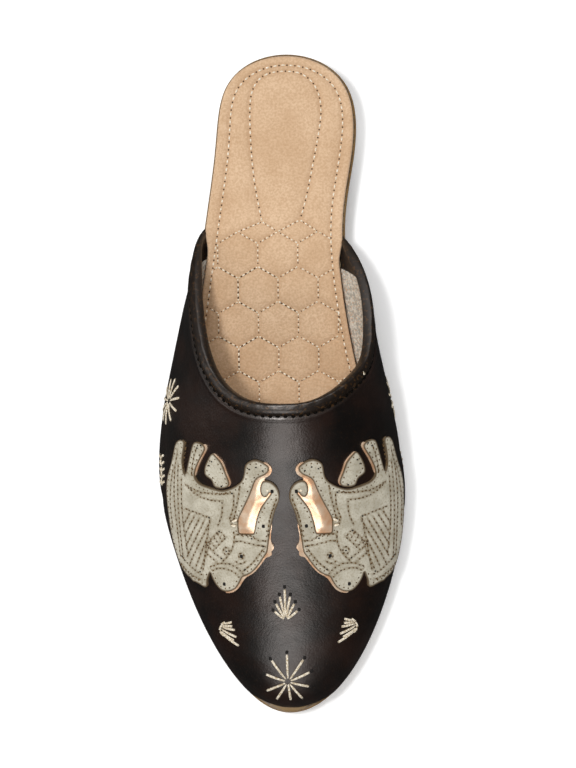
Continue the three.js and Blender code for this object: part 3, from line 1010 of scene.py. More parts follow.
def extrude_rim(bm, inset, height, tone=0.0):
    """Draws the open edge of a ladder out to the next loop of an outline, and marks its tone."""
    layers = [bm.verts.layers.float[name] for name in ("station", "share", "across")]
    tone_layer = bm.verts.layers.float["tone"]
    open_edges = [edge for edge in bm.edges if edge.is_boundary]
    made = bmesh.ops.extrude_edge_only(bm, edges=open_edges)
    verts = [item for item in made["geom"] if isinstance(item, bmesh.types.BMVert)]
    station, share, across = (np.array([vertex[layer] for vertex in verts]) for layer in layers)
    lateral, medial = (inset_plan(side, station, inset(share, side)) for side in SIDES)
    plan = on_side(across, lateral, medial)
    level = height(plan[:, 0], plan[:, 1], share)
    for vertex, x, y, z in zip(verts, plan[:, 0], plan[:, 1], level):
        vertex.co = (x * MM, y * MM, z * MM)
        vertex[tone_layer] = tone


def join(bm, other):
    mesh = bpy.data.meshes.new("joined")
    other.to_mesh(mesh)
    other.free()
    bm.from_mesh(mesh)
    bpy.data.meshes.remove(mesh)


# %% The pad
INSOLE_THICKNESS = 3.0
INSOLE_EDGE_ROUND = 0.8
PAD_COLUMNS = 100
PAD_SINK = 0.5
PAD_SEAM_HALF_WIDTH = 0.9
PAD_PUFF = 0.35
PAD_PUFF_REACH = 4.0
PAD_FOOT_COLUMNS = 6
PAD_HIDDEN_RUNGS = 70
PAD_SEEN_RUNGS = 250
SEEN_FROM_SHARE = 0.4
QUARTER_ROUND = np.radians((0, 30, 60, 90))


def seam_gap(x, y):
    """How far each place on the insole is from its nearest seam."""
    return nearest_gap(np.stack([x, y], -1), seam_points)


def insole_base(y):
    return seat_height(y) + FIT_GAP + INSOLE_THICKNESS


def pad_height(x, y, share):
    gap = seam_gap(x, y)
    sink = PAD_SINK * bell(gap, PAD_SEAM_HALF_WIDTH)
    return insole_base(y) - sink - PAD_PUFF * bell(gap, PAD_PUFF_REACH) + PAD_PUFF / 2


seen_from = station_of(SEEN_FROM_SHARE)
hidden_stations = np.linspace(0, seen_from, PAD_HIDDEN_RUNGS, endpoint=False)
pad_stations = np.concatenate([hidden_stations, np.linspace(seen_from, 1, PAD_SEEN_RUNGS)])
pad_rungs = np.column_stack([pad_stations, pad_stations, share_of(pad_stations)])


def inset_further(tuck):
    return lambda share, side: insole_inset(share, side) + tuck


def pad_foot(x, y, share):
    return seat_height(y) + FIT_GAP / 2


pad = ladder(PAD_COLUMNS, pad_rungs, inset_further(INSOLE_EDGE_ROUND), pad_height)
mark(pad, "seam_gap", seam_gap(*(np.array([vertex.co[:2] for vertex in pad.verts]) / MM).T))
for angle in QUARTER_ROUND[1:]:
    drop = INSOLE_EDGE_ROUND * (1 - math.cos(angle))
    tuck = INSOLE_EDGE_ROUND * (1 - math.sin(angle))
    extrude_rim(pad, inset_further(tuck), lambda x, y, share: insole_base(y) - drop)
extrude_rim(pad, insole_inset, pad_foot)
join(pad, ladder(PAD_FOOT_COLUMNS, pad_rungs, insole_inset, pad_foot))
close_up(pad)
print("open edges on the pad:", sum(not e.is_manifold for e in pad.edges))

# %% [markdown]
# Suede has no gloss at all: its raised nap scatters light, darkens where it is pressed or sewn
# down, and shows small cloudy patches where the fibres lie different ways. The fine noise is the
# nap, the slow one the clouds.

# %% Suede finish


def insole_suede():
    constants = {"Roughness": 0.95, "Sheen Weight": 0.15, "Specular IOR Level": 0.2}
    suede = Finish("insole_suede", constants)
    cloud = suede.noise(60.0, 4.0)
    nap = suede.noise(1300.0, 3.0)
    base = suede.mix(suede.step(cloud, 0.3, 0.7), srgb(206, 173, 139), srgb(222, 191, 158))
    napped = suede.mix(suede.step(nap, 0.3, 0.7) * 0.5, base, srgb(177, 140, 104))
    pressed = 1 - suede.step(suede.attribute("seam_gap"), 0.2, 1.8)
    suede.set("Base Color", suede.mix(pressed * 0.22, napped, srgb(166, 126, 90)))
    suede.bump(nap, 0.35, 0.5)
    return suede


insole = finished_piece("insole_pad", pad, insole_suede(), "insole")

# %% Stitches and needle holes of the quilting
CONTOUR_PITCH = 3.0
HONEYCOMB_PITCH = 1.95
STITCH_SHARE = 0.48
HOLE_SHARE = 0.32
BETWEEN_SHARE = 0.1
QUILT_THREAD = 0.33
QUILT_LIFT = 0.25
HOLE_SIZE = 0.34
SUEDE_HOLE_LIFT = 0.12
SUEDE_HOLE_FLATNESS = 0.3
FEWEST_SAMPLES = 5


def on_insole(x, y):
    sunk = insole_base(y) - PAD_SINK - PAD_PUFF / 2
    return np.stack([x, y, sunk], -1)


def dashes(path, pitch, length, offset=0.0):
    """Starts and ends of even stitches along a line of points."""
    path = np.asarray(path, float)
    run = run_along(path)
    count = max(1, int((run[-1] - offset - length) // pitch) + 1)
    at = offset + pitch * np.arange(count)
    return points_at(path, run, at), points_at(path, run, at + length)


def quilting(path, pitch):
    """Thread dashes and the needle holes between them, along one seam."""
    thread = dashes(path, pitch, STITCH_SHARE * pitch, BETWEEN_SHARE * pitch)
    holes = dashes(path, pitch, HOLE_SHARE * pitch, (BETWEEN_SHARE + STITCH_SHARE + BETWEEN_SHARE) * pitch)
    return thread, holes


sewn = [quilting(line, HONEYCOMB_PITCH) for line in seam_samples if len(line) >= FEWEST_SAMPLES]
sewn += [quilting(outer_contour, CONTOUR_PITCH), quilting(heel_loop, CONTOUR_PITCH)]
quilt_thread = [np.concatenate([seam[0][k] for seam in sewn]) for k in range(2)]
quilt_holes = [np.concatenate([seam[1][k] for seam in sewn]) for k in range(2)]
quilt_sewing = lay_threads(*quilt_thread, on_insole, QUILT_THREAD, QUILT_LIFT)
finished_piece("insole_thread", quilt_sewing, quilt_cream)
# The needle holes of the quilting are flat brown spots: painted shade in the holes.
pricked = lay_threads(*quilt_holes, on_insole, HOLE_SIZE, SUEDE_HOLE_LIFT, SUEDE_HOLE_FLATNESS)
finished_piece("insole_holes", pricked, suede_hole_shade)
print("stitches in the insole:", len(quilt_thread[0]))

# %% [markdown]
# ## The sole
# The sole unit is one moulding: a proud rim that carries the upper, a wall that leans in under it,
# and an underside with a sunk forefoot field, a smooth waist panel and grooves across the heel.
# Cutting all this out of a block with booleans leaves ragged shading, so the underside is a ladder
# whose border lines already lie where the steps are, and the wall is extruded up from its open
# edge, loop by loop, to the seat.

# %% Heights of the underside
TOE_SPRING = 7.5
TOE_LIFT_SHARE = 0.24
ARCH_RISE = 2.6
ARCH_FRONT_SHARE = 0.455
BREAST_SHARE = 0.785
FIELD_DEPTH = 1.0
FIELD_INSET = 11.0
FIELD_TO_SHARE = 0.449
LINE_INSETS = (7.6, 9.4)
LINE_DEPTH = 0.45
LINE_HALF_WIDTH = 0.35
PANEL_DEPTH = 0.8
PANEL_INSET = 9.9
PANEL_FROM_SHARE = 0.478
PANEL_TO_SHARE = 0.772
HEEL_GROOVES = 9
GROOVE_PITCH = 4.9
GROOVE_HALF_WIDTH = 0.55
GROOVE_DEPTH = 1.2
GROOVE_FIRST_Y = 75.5
GROOVE_MARGIN = 8.5
GROOVE_SLOPE = 0.15
EDGE_SLOPE = 0.25
SHARE_SLOPE = 0.002
RIM_SAMPLES = 700
rim_samples = np.concatenate([rim_plan(side, np.linspace(0, 1, RIM_SAMPLES)) for side in SIDES])


def tread_height(y):
    return TOE_SPRING * np.maximum(0, 1 - share_at(y) / TOE_LIFT_SHARE) ** 2


def waist_height(share):
    along = np.clip((share - ARCH_FRONT_SHARE) / (BREAST_SHARE - ARCH_FRONT_SHARE), 0, 1)
    return np.where(share < BREAST_SHARE, ARCH_RISE * np.sin(along * np.pi / 2), 0)


def rim_gap(x, y):
    return nearest_gap(np.stack([x, y], -1), rim_samples)


def within(value, low, high, slope):
    return soft_step(value, low - slope, low) * (1 - soft_step(value, high, high + slope))


def underside(x, y, share):
    """Height of the underside: what is sunk on the real sole lies higher here."""
    gap = rim_gap(x, y)
    inside_field = soft_step(gap, FIELD_INSET, FIELD_INSET + EDGE_SLOPE)
    height = tread_height(y) + waist_height(share)
    in_front = 1 - soft_step(share, FIELD_TO_SHARE, FIELD_TO_SHARE + SHARE_SLOPE)
    height += FIELD_DEPTH * inside_field * in_front
    inside_panel = soft_step(gap, PANEL_INSET, PANEL_INSET + EDGE_SLOPE)
    height += PANEL_DEPTH * inside_panel * within(share, PANEL_FROM_SHARE, PANEL_TO_SHARE, SHARE_SLOPE)
    for inset in LINE_INSETS:
        height += LINE_DEPTH * bell(gap - inset, LINE_HALF_WIDTH) * (share < BREAST_SHARE - SHARE_SLOPE)
    across_heel = soft_step(gap, GROOVE_MARGIN, GROOVE_MARGIN + 2 * EDGE_SLOPE)
    for k in range(HEEL_GROOVES):
        from_middle = y - GROOVE_FIRST_Y - GROOVE_PITCH * k
        in_groove = within(from_middle, -GROOVE_HALF_WIDTH, GROOVE_HALF_WIDTH, GROOVE_SLOPE)
        height += GROOVE_DEPTH * across_heel * in_groove
    return height


waist_rise = float(waist_height(BREAST_SHARE - SHARE_SLOPE).round(2))
print("rise of the waist in front of the heel, mm:", waist_rise)

# %% Rungs of the underside
SOLE_ROWS = 300
LEVEL_SAMPLES = 4000
ROW_NUDGE = 0.06
SHARE_NUDGE = 0.0002
HEEL_SQUEEZE = 0.2
HEEL_SQUEEZE_OVER = 0.02
line_steps = [inset + k * LINE_HALF_WIDTH for inset in LINE_INSETS for k in (-2, -1, 0, 1, 2)]
edge_steps = [inset + k * EDGE_SLOPE for inset in (FIELD_INSET, PANEL_INSET) for k in (0, 1)]
BORDER = np.array(sorted(line_steps + edge_steps))


def border_inset(line, share):
    """How far inside the outline each border line lies; over the heel they draw together."""
    squeeze = 1 - HEEL_SQUEEZE * soft_step(share, BREAST_SHARE, BREAST_SHARE + HEEL_SQUEEZE_OVER)
    return BORDER[np.maximum(line, 1) - 1] * squeeze


def level_rungs(stations, places):
    """Rungs that run level inside the innermost border line, some of them at set places along the shoe."""
    fine = np.linspace(0, 1, LEVEL_SAMPLES)
    depth = border_inset(np.full(len(fine), len(BORDER)), share_of(fine))
    lines = [inset_plan(side, fine, depth)[:, 1] for side in SIDES]
    even = [np.interp(stations, fine, line) for line in lines]
    level = np.unique(np.concatenate([(even[0] + even[1]) / 2, places]))
    rungs = np.column_stack([*(np.interp(level, line, fine) for line in lines), share_at(level)])
    rungs[0, :2] = 0
    rungs[-1, :2] = 1
    return rungs


groove_edges = [
    GROOVE_FIRST_Y + GROOVE_PITCH * k + side * (GROOVE_HALF_WIDTH + nudge)
    for k in range(HEEL_GROOVES)
    for side in (-1, 1)
    for nudge in (-ROW_NUDGE, GROOVE_SLOPE + ROW_NUDGE)
]
share_edges = [
    TOE_Y + LENGTH * (share + nudge)
    for share in (FIELD_TO_SHARE, PANEL_FROM_SHARE - SHARE_SLOPE, PANEL_TO_SHARE, BREAST_SHARE)
    for nudge in (-SHARE_NUDGE, SHARE_SLOPE + SHARE_NUDGE)
]
breast_edge = TOE_Y + LENGTH * (BREAST_SHARE + SHARE_NUDGE)
sole_rungs = level_rungs(np.linspace(0, 1, SOLE_ROWS), [*groove_edges, *share_edges, breast_edge])
print("rungs across the sole:", len(sole_rungs))

# %% The sole's mesh
SOLE_COLUMNS = 70
SEAT_COLUMNS = 8
RIM_BAND = 3.0
RIM_STEP = 0.9
RIM_ROUND = 0.6
RIM_FILLET = 0.3
WALL_INSET_FOREFOOT = 1.6
WALL_INSET_HEEL = 3.2
TREAD_EDGE = 1.2
# The wall's tone marks where the rubber gets painted shade from the rim above it; the rim's tone marks the
# rim.
WALL_SHADE_TONE = 0.4
RIM_TONE = 1.0


def wall_inset(share, side=None):
    leaning = soft_step(share, ARCH_FRONT_SHARE, BREAST_SHARE)
    return blend(WALL_INSET_FOREFOOT, WALL_INSET_HEEL, leaning)


def tread_inset(share, side=None):
    return wall_inset(share) + TREAD_EDGE


def foot_of_wall(x, y, share):
    return tread_height(y) + waist_height(share) + TREAD_EDGE


def seat(x, y, share):
    return seat_height(y)


def step_out(angle):
    """A loop round the rim's lower edge: its inset, its depth below the seat and its tone."""
    return RIM_STEP * (1 - math.sin(angle)), RIM_BAND - RIM_STEP / 2 * (1 - math.cos(angle)), RIM_TONE


def round_over(angle):
    """The same round the rim's upper edge."""
    return RIM_ROUND * (1 - math.cos(angle)), RIM_ROUND * (1 - math.sin(angle)), RIM_TONE


sole = ladder(SOLE_COLUMNS, sole_rungs, tread_inset, underside, border_inset, len(BORDER))
wall_loops = [
    (RIM_STEP + RIM_FILLET, RIM_BAND + 2 * RIM_FILLET, WALL_SHADE_TONE),
    (RIM_STEP, RIM_BAND, WALL_SHADE_TONE),
    *(loop(angle) for loop in (step_out, round_over) for angle in QUARTER_ROUND),
]
extrude_rim(sole, wall_inset, foot_of_wall, WALL_SHADE_TONE)
for inset, drop, tone in wall_loops:
    extrude_rim(sole, lambda share, side: inset, lambda x, y, share: seat_height(y) - drop, tone)
join(sole, ladder(SEAT_COLUMNS, sole_rungs, lambda share, side: RIM_ROUND, seat))
close_up(sole)
print("open edges on the sole:", sum(not e.is_manifold for e in sole.edges))

# %% [markdown]
# The rubber is a warm olive tan, paler on the waist and in dusty patches. The heel block is darker
# and browner, as painted shade on its face, and the wall that leans in under the rim is painted darker
# still, as painted shade from the rim over it. The rim on top is lighter than that wall.

# %% Rubber finish
# Where the heel's painted shade starts and where it is full, in metres along the shoe
HEEL_SHADE_FROM = 0.0709
HEEL_SHADE_FULL = 0.0717


def sole_rubber():
    rubber = Finish("sole_rubber", {"Coat Weight": 0.05, "Coat Roughness": 0.35})
    place = rubber.place()
    along = rubber.node("ShaderNodeSeparateXYZ", {}, {"Vector": place}, output="Y")
    cloud = rubber.noise(45.0, 4.0)
    speck = rubber.noise(900.0, 2.0)
    # The heel block is painted darker: painted shade on the heel's face.
    heel = rubber.step(along, HEEL_SHADE_FROM, HEEL_SHADE_FULL)
    waist = rubber.step(along + (cloud - 0.5) * 0.02, -0.02, 0.02)
    under = rubber.mix(waist, srgb(134, 105, 58), srgb(143, 122, 88))
    under = rubber.mix(heel, under, srgb(98, 73, 34))
    tone = rubber.attribute("tone")
    # The wall under the rim is painted darker: painted shade from the rim's overhang.
    wall = rubber.mix(rubber.step(tone, 0.1, WALL_SHADE_TONE), under, srgb(72, 50, 25))
    rim_tan = rubber.mix(rubber.step(tone, WALL_SHADE_TONE + 0.1, RIM_TONE), wall, srgb(124, 94, 48))
    dusty = rubber.mix(rubber.step(cloud, 0.45, 0.75) * 0.25, rim_tan, srgb(160, 138, 100))
    rubber.set("Base Color", rubber.mix(rubber.step(speck, 0.55, 0.75) * 0.2, dusty, srgb(70, 50, 24)))
    rubber.set("Roughness", 0.42 + cloud * 0.2)
    rubber.bump(speck * 0.6 + rubber.noise(220.0) * 0.4, 0.12, 0.5)
    return rubber


rubber = sole_rubber()
finished_piece("sole_unit", sole, rubber, "sole", sharp=50)

# %% [markdown]
# ## The tread
# The forefoot is filled with leaves: stacks of nested chevrons that grow out of points on a
# triangular net, three from each point, a third of a turn apart. Two slanting bands divide the
# field. Every bar is the same small bevelled block, stretched and turned into place and set to
# follow the toe's lift.

# %% Bars of the tread
BAR_BEVEL = 0.22
BAR_SUNK = 0.1
CUT_MERGE = 1e-4


def bar_pattern(cuts):
    """A small block, cut across so that a long one can bend."""
    bm = bmesh.new()
    bmesh.ops.create_cube(bm, size=1)
    bmesh.ops.bevel(
        bm, geom=bm.edges[:], offset=BAR_BEVEL, segments=1, profile=0.5, affect="EDGES", material=-1
    )
    for k in range(cuts):
        geometry = bm.verts[:] + bm.edges[:] + bm.faces[:]
        spot = ((k + 1) / (cuts + 1) - 0.5, 0, 0)
        bmesh.ops.bisect_plane(bm, geom=geometry, dist=CUT_MERGE, plane_co=spot, plane_no=(1, 0, 0))
    mesh = bpy.data.meshes.new("bar_pattern")
    bm.to_mesh(mesh)
    bm.free()
    return mesh


def set_bars(ends, widths, sunk_at, stands, cuts=0):
    """One mesh of blocks from each start to its end; sunk_at gives the floor that they stand down from."""
    pattern = bar_pattern(cuts)
    shape = np.array([vertex.co for vertex in pattern.vertices])
    start = ends[:, 0][:, None]
    end = ends[:, 1][:, None]
    along = unit(end - start)
    aside = np.stack([-along[..., 1], along[..., 0]], -1)
    run = np.linalg.norm(end - start, axis=-1, keepdims=True)
    widths = np.broadcast_to(widths, len(ends))[:, None, None]
    plan = (start + end) / 2 + along * run * shape[:, :1] + aside * widths * shape[:, 1:2]
    height = sunk_at(plan[..., 1]) - stands * (0.5 - shape[:, 2]) + BAR_SUNK
    bm = bmesh.new()
    for _ in ends:
        bm.from_mesh(pattern)
    bpy.data.meshes.remove(pattern)
    move_vertices(bm, np.concatenate([plan, height[..., None]], -1).reshape(-1, 3))
    return bm


# %% Leaves and bands of the forefoot
LEAF_FROM = 2.9
LEAF_STEP = 2.35
LEAF_ARMS = (2.4, 4.6, 6.8, 8.6, 9.4, 9.4, 9.0, 8.0)
ARM_SLOPE = math.radians(36)
BAR_FROM = 0.55
BAR_SAMPLES = 17
SHORTEST_BAR = 1.3
FIELD_MARGIN = 0.9
FIELD_END_MARGIN = 0.006
# Each band across the field: its share of the length at the outer and the inner side, and its width
BANDS = ((0.168, 0.095, 2.4), (0.292, 0.35, 2.8))
BAND_OVERLAP = 0.2


def leaf_bars(heart, heading):
    """Pairs of arm ends of one leaf that grows from its heart along a heading."""
    ahead = np.array([math.cos(heading), math.sin(heading)])
    aside = np.array([-ahead[1], ahead[0]])
    bars = []
    for k, arm in enumerate(LEAF_ARMS):
        tip = heart + ahead * (LEAF_FROM + LEAF_STEP * k)
        for hand in (-1, 1):
            spread = aside * hand * math.cos(ARM_SLOPE) - ahead * math.sin(ARM_SLOPE)
            bars.append((tip + spread * BAR_FROM, tip + spread * arm))
    return bars


def band_ends(outer_share, inner_share, width):
    ends = []
    for side, share in zip(SIDES, (outer_share, inner_share)):
        ends.append(inset_plan(side, station_of(share), FIELD_INSET - BAND_OVERLAP))
    return (*ends, width)


def in_field(flat, bands):
    """Whether places lie inside the sunk field and off the bands."""
    station = station_of(share_at(flat[:, 1]))
    aside = flat[:, 0] - AXIS_X
    fits = (aside > rim["lateral"](station)) & (aside < rim["medial"](station))
    fits &= (flat[:, 1] > TOE_Y) & (share_at(flat[:, 1]) < FIELD_TO_SHARE - FIELD_END_MARGIN)
    fits &= rim_gap(flat[:, 0], flat[:, 1]) > FIELD_INSET + FIELD_MARGIN
    for start, end, width in bands:
        along = unit(end - start)
        off = np.abs((flat - start) @ np.array([-along[1], along[0]]))
        fits &= off > width / 2 + FIELD_MARGIN
    return fits


def cut_to_field(bars, bands):
    """Each bar's first stretch inside the field, where that is long enough to keep."""
    ends = np.array(bars)
    t = np.linspace(0, 1, BAR_SAMPLES)
    spots = ends[:, :1] + (ends[:, 1:] - ends[:, :1]) * t[:, None]
    fits = in_field(spots.reshape(-1, 2), bands).reshape(len(ends), BAR_SAMPLES)
    cut = []
    for spot, fit in zip(spots, fits):
        kept = np.flatnonzero(fit)
        if not len(kept):
            continue
        out = np.flatnonzero(~fit[kept[0]:])
        last = kept[0] + out[0] - 1 if len(out) else BAR_SAMPLES - 1
        if np.linalg.norm(spot[last] - spot[kept[0]]) > SHORTEST_BAR:
            cut.append((spot[kept[0]], spot[last]))
    return np.array(cut)


# %% The forefoot's bars
BAR_WIDTH = 1.45
NET_PITCH = 29.0
NET_REACH = (4, 6)
FIRST_HEART = np.array([AXIS_X + 6.8, -77])
LEAF_HEADINGS = np.radians((90, 210, 330))
BAND_CUTS = 12


def field_floor(y):
    return tread_height(y) + FIELD_DEPTH


bands = [band_ends(*band) for band in BANDS]
leaves = []
for i in range(-NET_REACH[0], NET_REACH[0] + 1):
    for j in range(-NET_REACH[1], NET_REACH[1] + 1):
        step = np.array([math.cos(math.radians(30)) * i, j + 0.5 * (i % 2)])
        for heading in LEAF_HEADINGS:
            leaves += leaf_bars(FIRST_HEART + NET_PITCH * step, heading)
tread_ends = cut_to_field(leaves, bands)
tread = set_bars(tread_ends, BAR_WIDTH, field_floor, FIELD_DEPTH)
band_bars = np.array([(start, end) for start, end, _ in bands])
band_widths = np.array([width for _, _, width in bands])
join(tread, set_bars(band_bars, band_widths, field_floor, FIELD_DEPTH, cuts=BAND_CUTS))
mark(tread, "tone", np.zeros(len(tread.verts)))
print("bars in the tread:", len(tread_ends))

# %% Ornament down the waist
EAR_ARMS = (6.2, 6.2, 5.4, 4.4, 3.3, 2.2)
EAR_STEP = 1.85
EARS_FROM = 25.7
CHEVRONS = 4
CHEVRON_STEP = 4.9
CHEVRON_ARM = 5.0
CHEVRONS_FROM = 9.7
CHEVRON_SLOPE = math.radians(40)
CHEVRON_GAP = 0.5
# Each ring in the middle: its radius and the width of its line; the last one is a dot
RINGS = ((4.3, 1.0), (2.4, 0.8), (0.45, 0.9))
RING_STEPS = 40
RING_OVERLAP = 0.1
ORNAMENT_WIDTH = 1.5
RING_SHARE = 0.628


def waist_x(y):
    """The middle of the waist panel at each place along it."""
    station = station_of(share_at(y))
    return AXIS_X + (rim["lateral"](station) + rim["medial"](station)) / 2


def waist_floor(y):
    return waist_height(share_at(y)) + PANEL_DEPTH


def chevron(y, heading, arm):
    tip = np.array([float(waist_x(y)), y])
    bars = []
    for hand in (-1, 1):
        spread = np.array([hand * math.cos(CHEVRON_SLOPE), -heading * math.sin(CHEVRON_SLOPE)])
        bars.append((tip + spread * CHEVRON_GAP, tip + spread * arm))
    return bars


ring_y = TOE_Y + LENGTH * RING_SHARE
ornament = []
for heading in (-1, 1):
    for k in range(CHEVRONS):
        ornament += chevron(ring_y + heading * (CHEVRONS_FROM + CHEVRON_STEP * k), heading, CHEVRON_ARM)
    for k, arm in enumerate(EAR_ARMS):
        ornament += chevron(ring_y + heading * (EARS_FROM + EAR_STEP * k), -heading, arm)
ornament = np.array(ornament)
ornament_share = share_at(ornament[..., 1])
on_panel = (ornament_share > PANEL_FROM_SHARE) & (ornament_share < PANEL_TO_SHARE)
ornament = ornament[np.all(on_panel, 1)]
join(tread, set_bars(ornament, ORNAMENT_WIDTH, waist_floor, PANEL_DEPTH))
ring_angles = np.linspace(0, 2 * np.pi, RING_STEPS + 1)
ring_middle = np.array([float(waist_x(ring_y)), ring_y])
for radius, width in RINGS:
    circle = ring_middle + radius * np.column_stack([np.cos(ring_angles), np.sin(ring_angles)])
    ring_bars = np.stack([circle[:-1], circle[1:] + RING_OVERLAP * (circle[1:] - circle[:-1])], 1)
    join(tread, set_bars(ring_bars, width, waist_floor, PANEL_DEPTH))
bmesh.ops.recalc_face_normals(tread, faces=tread.faces[:])
finished_piece("sole_tread", tread, rubber, sharp=30)

# %% [markdown]
# ## The elephants
# Two elephants face each other across the vamp. Each is cut from grey leather and sewn over a cut
# of rose foil, which shows behind the trunk and as a thin bright rim. Projecting a flat drawing
# straight down would smear it on the steep sides, so the drawing is unrolled: its distance from the
# ridge becomes a length along the leather. An outline is filled, cut into small cells so that it
# can bend, thickened, and its upper edge is bevelled.

# %% The vamp as a flat chart
CHART_ROWS = 220
CHART_ACROSS = 401
ARC_STEP = 0.5
ARC_REACH = 84
PAIR_CENTRE_X = 2.3
PAIR_MIDDLE_Y = -48
CHART_FROM_STATION = 0.012
CHART_TO_SHARE = 0.6
LAST_CELL = 1.001
FAR_ASIDE = 60
chart_station = np.linspace(CHART_FROM_STATION, station_of(CHART_TO_SHARE), CHART_ROWS)
chart_across = np.linspace(0, 1, CHART_ACROSS)
chart_points = last_point(chart_station[:, None], chart_across[None])
chart_y = chart_points[:, CHART_ACROSS // 2, 1]
steps = np.linalg.norm(np.diff(chart_points, axis=1), axis=-1)
chart_arc = np.pad(np.cumsum(steps, axis=1), ((0, 0), (1, 0)))
middle = slice(CHART_ACROSS // 4, 3 * CHART_ACROSS // 4)
for arc, points in zip(chart_arc, chart_points):
    arc -= np.interp(PAIR_CENTRE_X, points[middle, 0], arc[middle])
arc_grid = np.arange(-ARC_REACH, ARC_REACH + ARC_STEP, ARC_STEP)
across_by_arc = np.array([np.interp(arc_grid, arc, chart_across) for arc in chart_arc])


def leather_place(out, y):
    """Station and across at a length out from the ridge along the leather and a place along the shoe."""
    out, y = np.broadcast_arrays(np.asarray(out, float), np.asarray(y, float))
    row = np.interp(y, chart_y, np.arange(CHART_ROWS))
    low = np.minimum(row.astype(int), CHART_ROWS - 2)
    up = row - low
    place = np.clip((out + ARC_REACH) / ARC_STEP, 0, len(arc_grid) - LAST_CELL)
    cell = place.astype(int)
    part = place - cell
    rows = [blend(across_by_arc[r, cell], across_by_arc[r, cell + 1], part) for r in (low, low + 1)]
    return blend(chart_station[low], chart_station[low + 1], up), blend(*rows, up)


def on_leather(out, y):
    return leather_point(*leather_place(out, y))


def arc_seen_at(x, y):
    """The length along the leather to a place seen from straight above."""
    row = int(np.interp(y, chart_y, np.arange(CHART_ROWS)).round())
    seen = slice(chart_points[row, :, 0].argmin(), chart_points[row, :, 0].argmax() + 1)
    return np.interp(x, chart_points[row, seen, 0], chart_arc[row, seen])


half_girth = float(arc_seen_at(FAR_ASIDE, PAIR_MIDDLE_Y))
print("half girth of the vamp through the elephants, mm:", round(half_girth, 1))

# %% Cutting flat shapes
CORNER_CUT = 0.22
STEEP = 0.5


def softened(corners, rounds=2):
    """Cuts the corners of a closed outline, as a knife does that turns through them."""
    line = np.asarray(corners, float)
    for _ in range(rounds):
        ahead = np.roll(line, -1, axis=0)
        cuts = [blend(line, ahead, CORNER_CUT), blend(ahead, line, CORNER_CUT)]
        line = np.stack(cuts, 1).reshape(-1, 2)
    return line


def cut_out(outline, cell):
    """A flat sheet with this outline, cut into cells."""
    bm = bmesh.new()
    bm.faces.new([bm.verts.new((x, y, 0)) for x, y in outline])
    for axis in range(2):
        for level in np.arange(outline[:, axis].min() + cell / 2, outline[:, axis].max(), cell):
            square = np.eye(3)[axis]
            geometry = bm.verts[:] + bm.edges[:] + bm.faces[:]
            bmesh.ops.bisect_plane(
                bm, geom=geometry, dist=CUT_MERGE, plane_co=square * level, plane_no=square
            )
    bmesh.ops.triangulate(bm, faces=bm.faces[:])
    return bm


def thicken(bm, thickness, rounding):
    made = bmesh.ops.extrude_face_region(bm, geom=bm.faces[:])
    top = [item for item in made["geom"] if isinstance(item, bmesh.types.BMVert)]
    bmesh.ops.translate(bm, verts=top, vec=(0, 0, thickness))
    bm.normal_update()
    top = set(top)
    top_edges = [edge for edge in bm.edges if top.issuperset(edge.verts)]
    upper_rim = [e for e in top_edges if any(abs(face.normal.z) < STEEP for face in e.link_faces)]
    rounded = {"segments": 2, "profile": 0.5, "affect": "EDGES", "clamp_overlap": True, "material": -1}
    bmesh.ops.bevel(bm, geom=upper_rim, offset=rounding, **rounded)


# %% Laying shapes on the leather
OUTLINE_STEP = 0.7
SEWN_SINK = 0.2
SEWN_HALF_WIDTH = 0.55


def closed_outline(corners):
    line = from_chart(softened(corners))
    return evenly(np.concatenate([line, line[:1]]), OUTLINE_STEP)


def applique(outlines, thickness, rounding, lift, puff, cell, sewn):
    """Both elephants' copies of flat shapes, laid on the leather as one mesh and sunk along the sewing."""
    whole = bmesh.new()
    gaps = []
    sewn_gaps = []
    for corners in outlines:
        outline = closed_outline(corners)
        for hand in (-1, 1):
            sheet = cut_out(outline[:-1], cell)
            thicken(sheet, thickness, rounding)
            flat = np.array([vertex.co for vertex in sheet.verts])
            gap = nearest_gap(flat[:, :2], evenly(outline, OUTLINE_STEP / 3))
            places = leather_place(hand * flat[:, 0], flat[:, 1])
            points, normals = leather_point(*places), out_of_last(*places)
            from_sewing = nearest_gap(flat[:, :2], sewn)
            swell = puff(flat[:, :2], gap) - SEWN_SINK * bell(from_sewing, SEWN_HALF_WIDTH)
            swell *= flat[:, 2] > 0
            move_vertices(sheet, points + normals * (flat[:, 2] + swell + lift)[:, None])
            bmesh.ops.recalc_face_normals(sheet, faces=sheet.faces[:])
            if sheet.calc_volume(signed=True) < 0:
                bmesh.ops.reverse_faces(sheet, faces=sheet.faces[:])
            join(whole, sheet)
            gaps.append(np.where(flat[:, 2] > thickness / 2, gap, 0))
            sewn_gaps.append(from_sewing)
    mark(whole, "cut_gap", np.concatenate(gaps))
    mark(whole, "sewn_gap", np.concatenate(sewn_gaps))
    return whole


# %% [markdown]
# The outlines and the sewn lines below are read off an upright drawing of one elephant, with its
# crown toward the toe. One step of the drawing is about a twentieth of a millimetre. The first number
# runs from the tail to the trunk, the second from the crown to the feet.

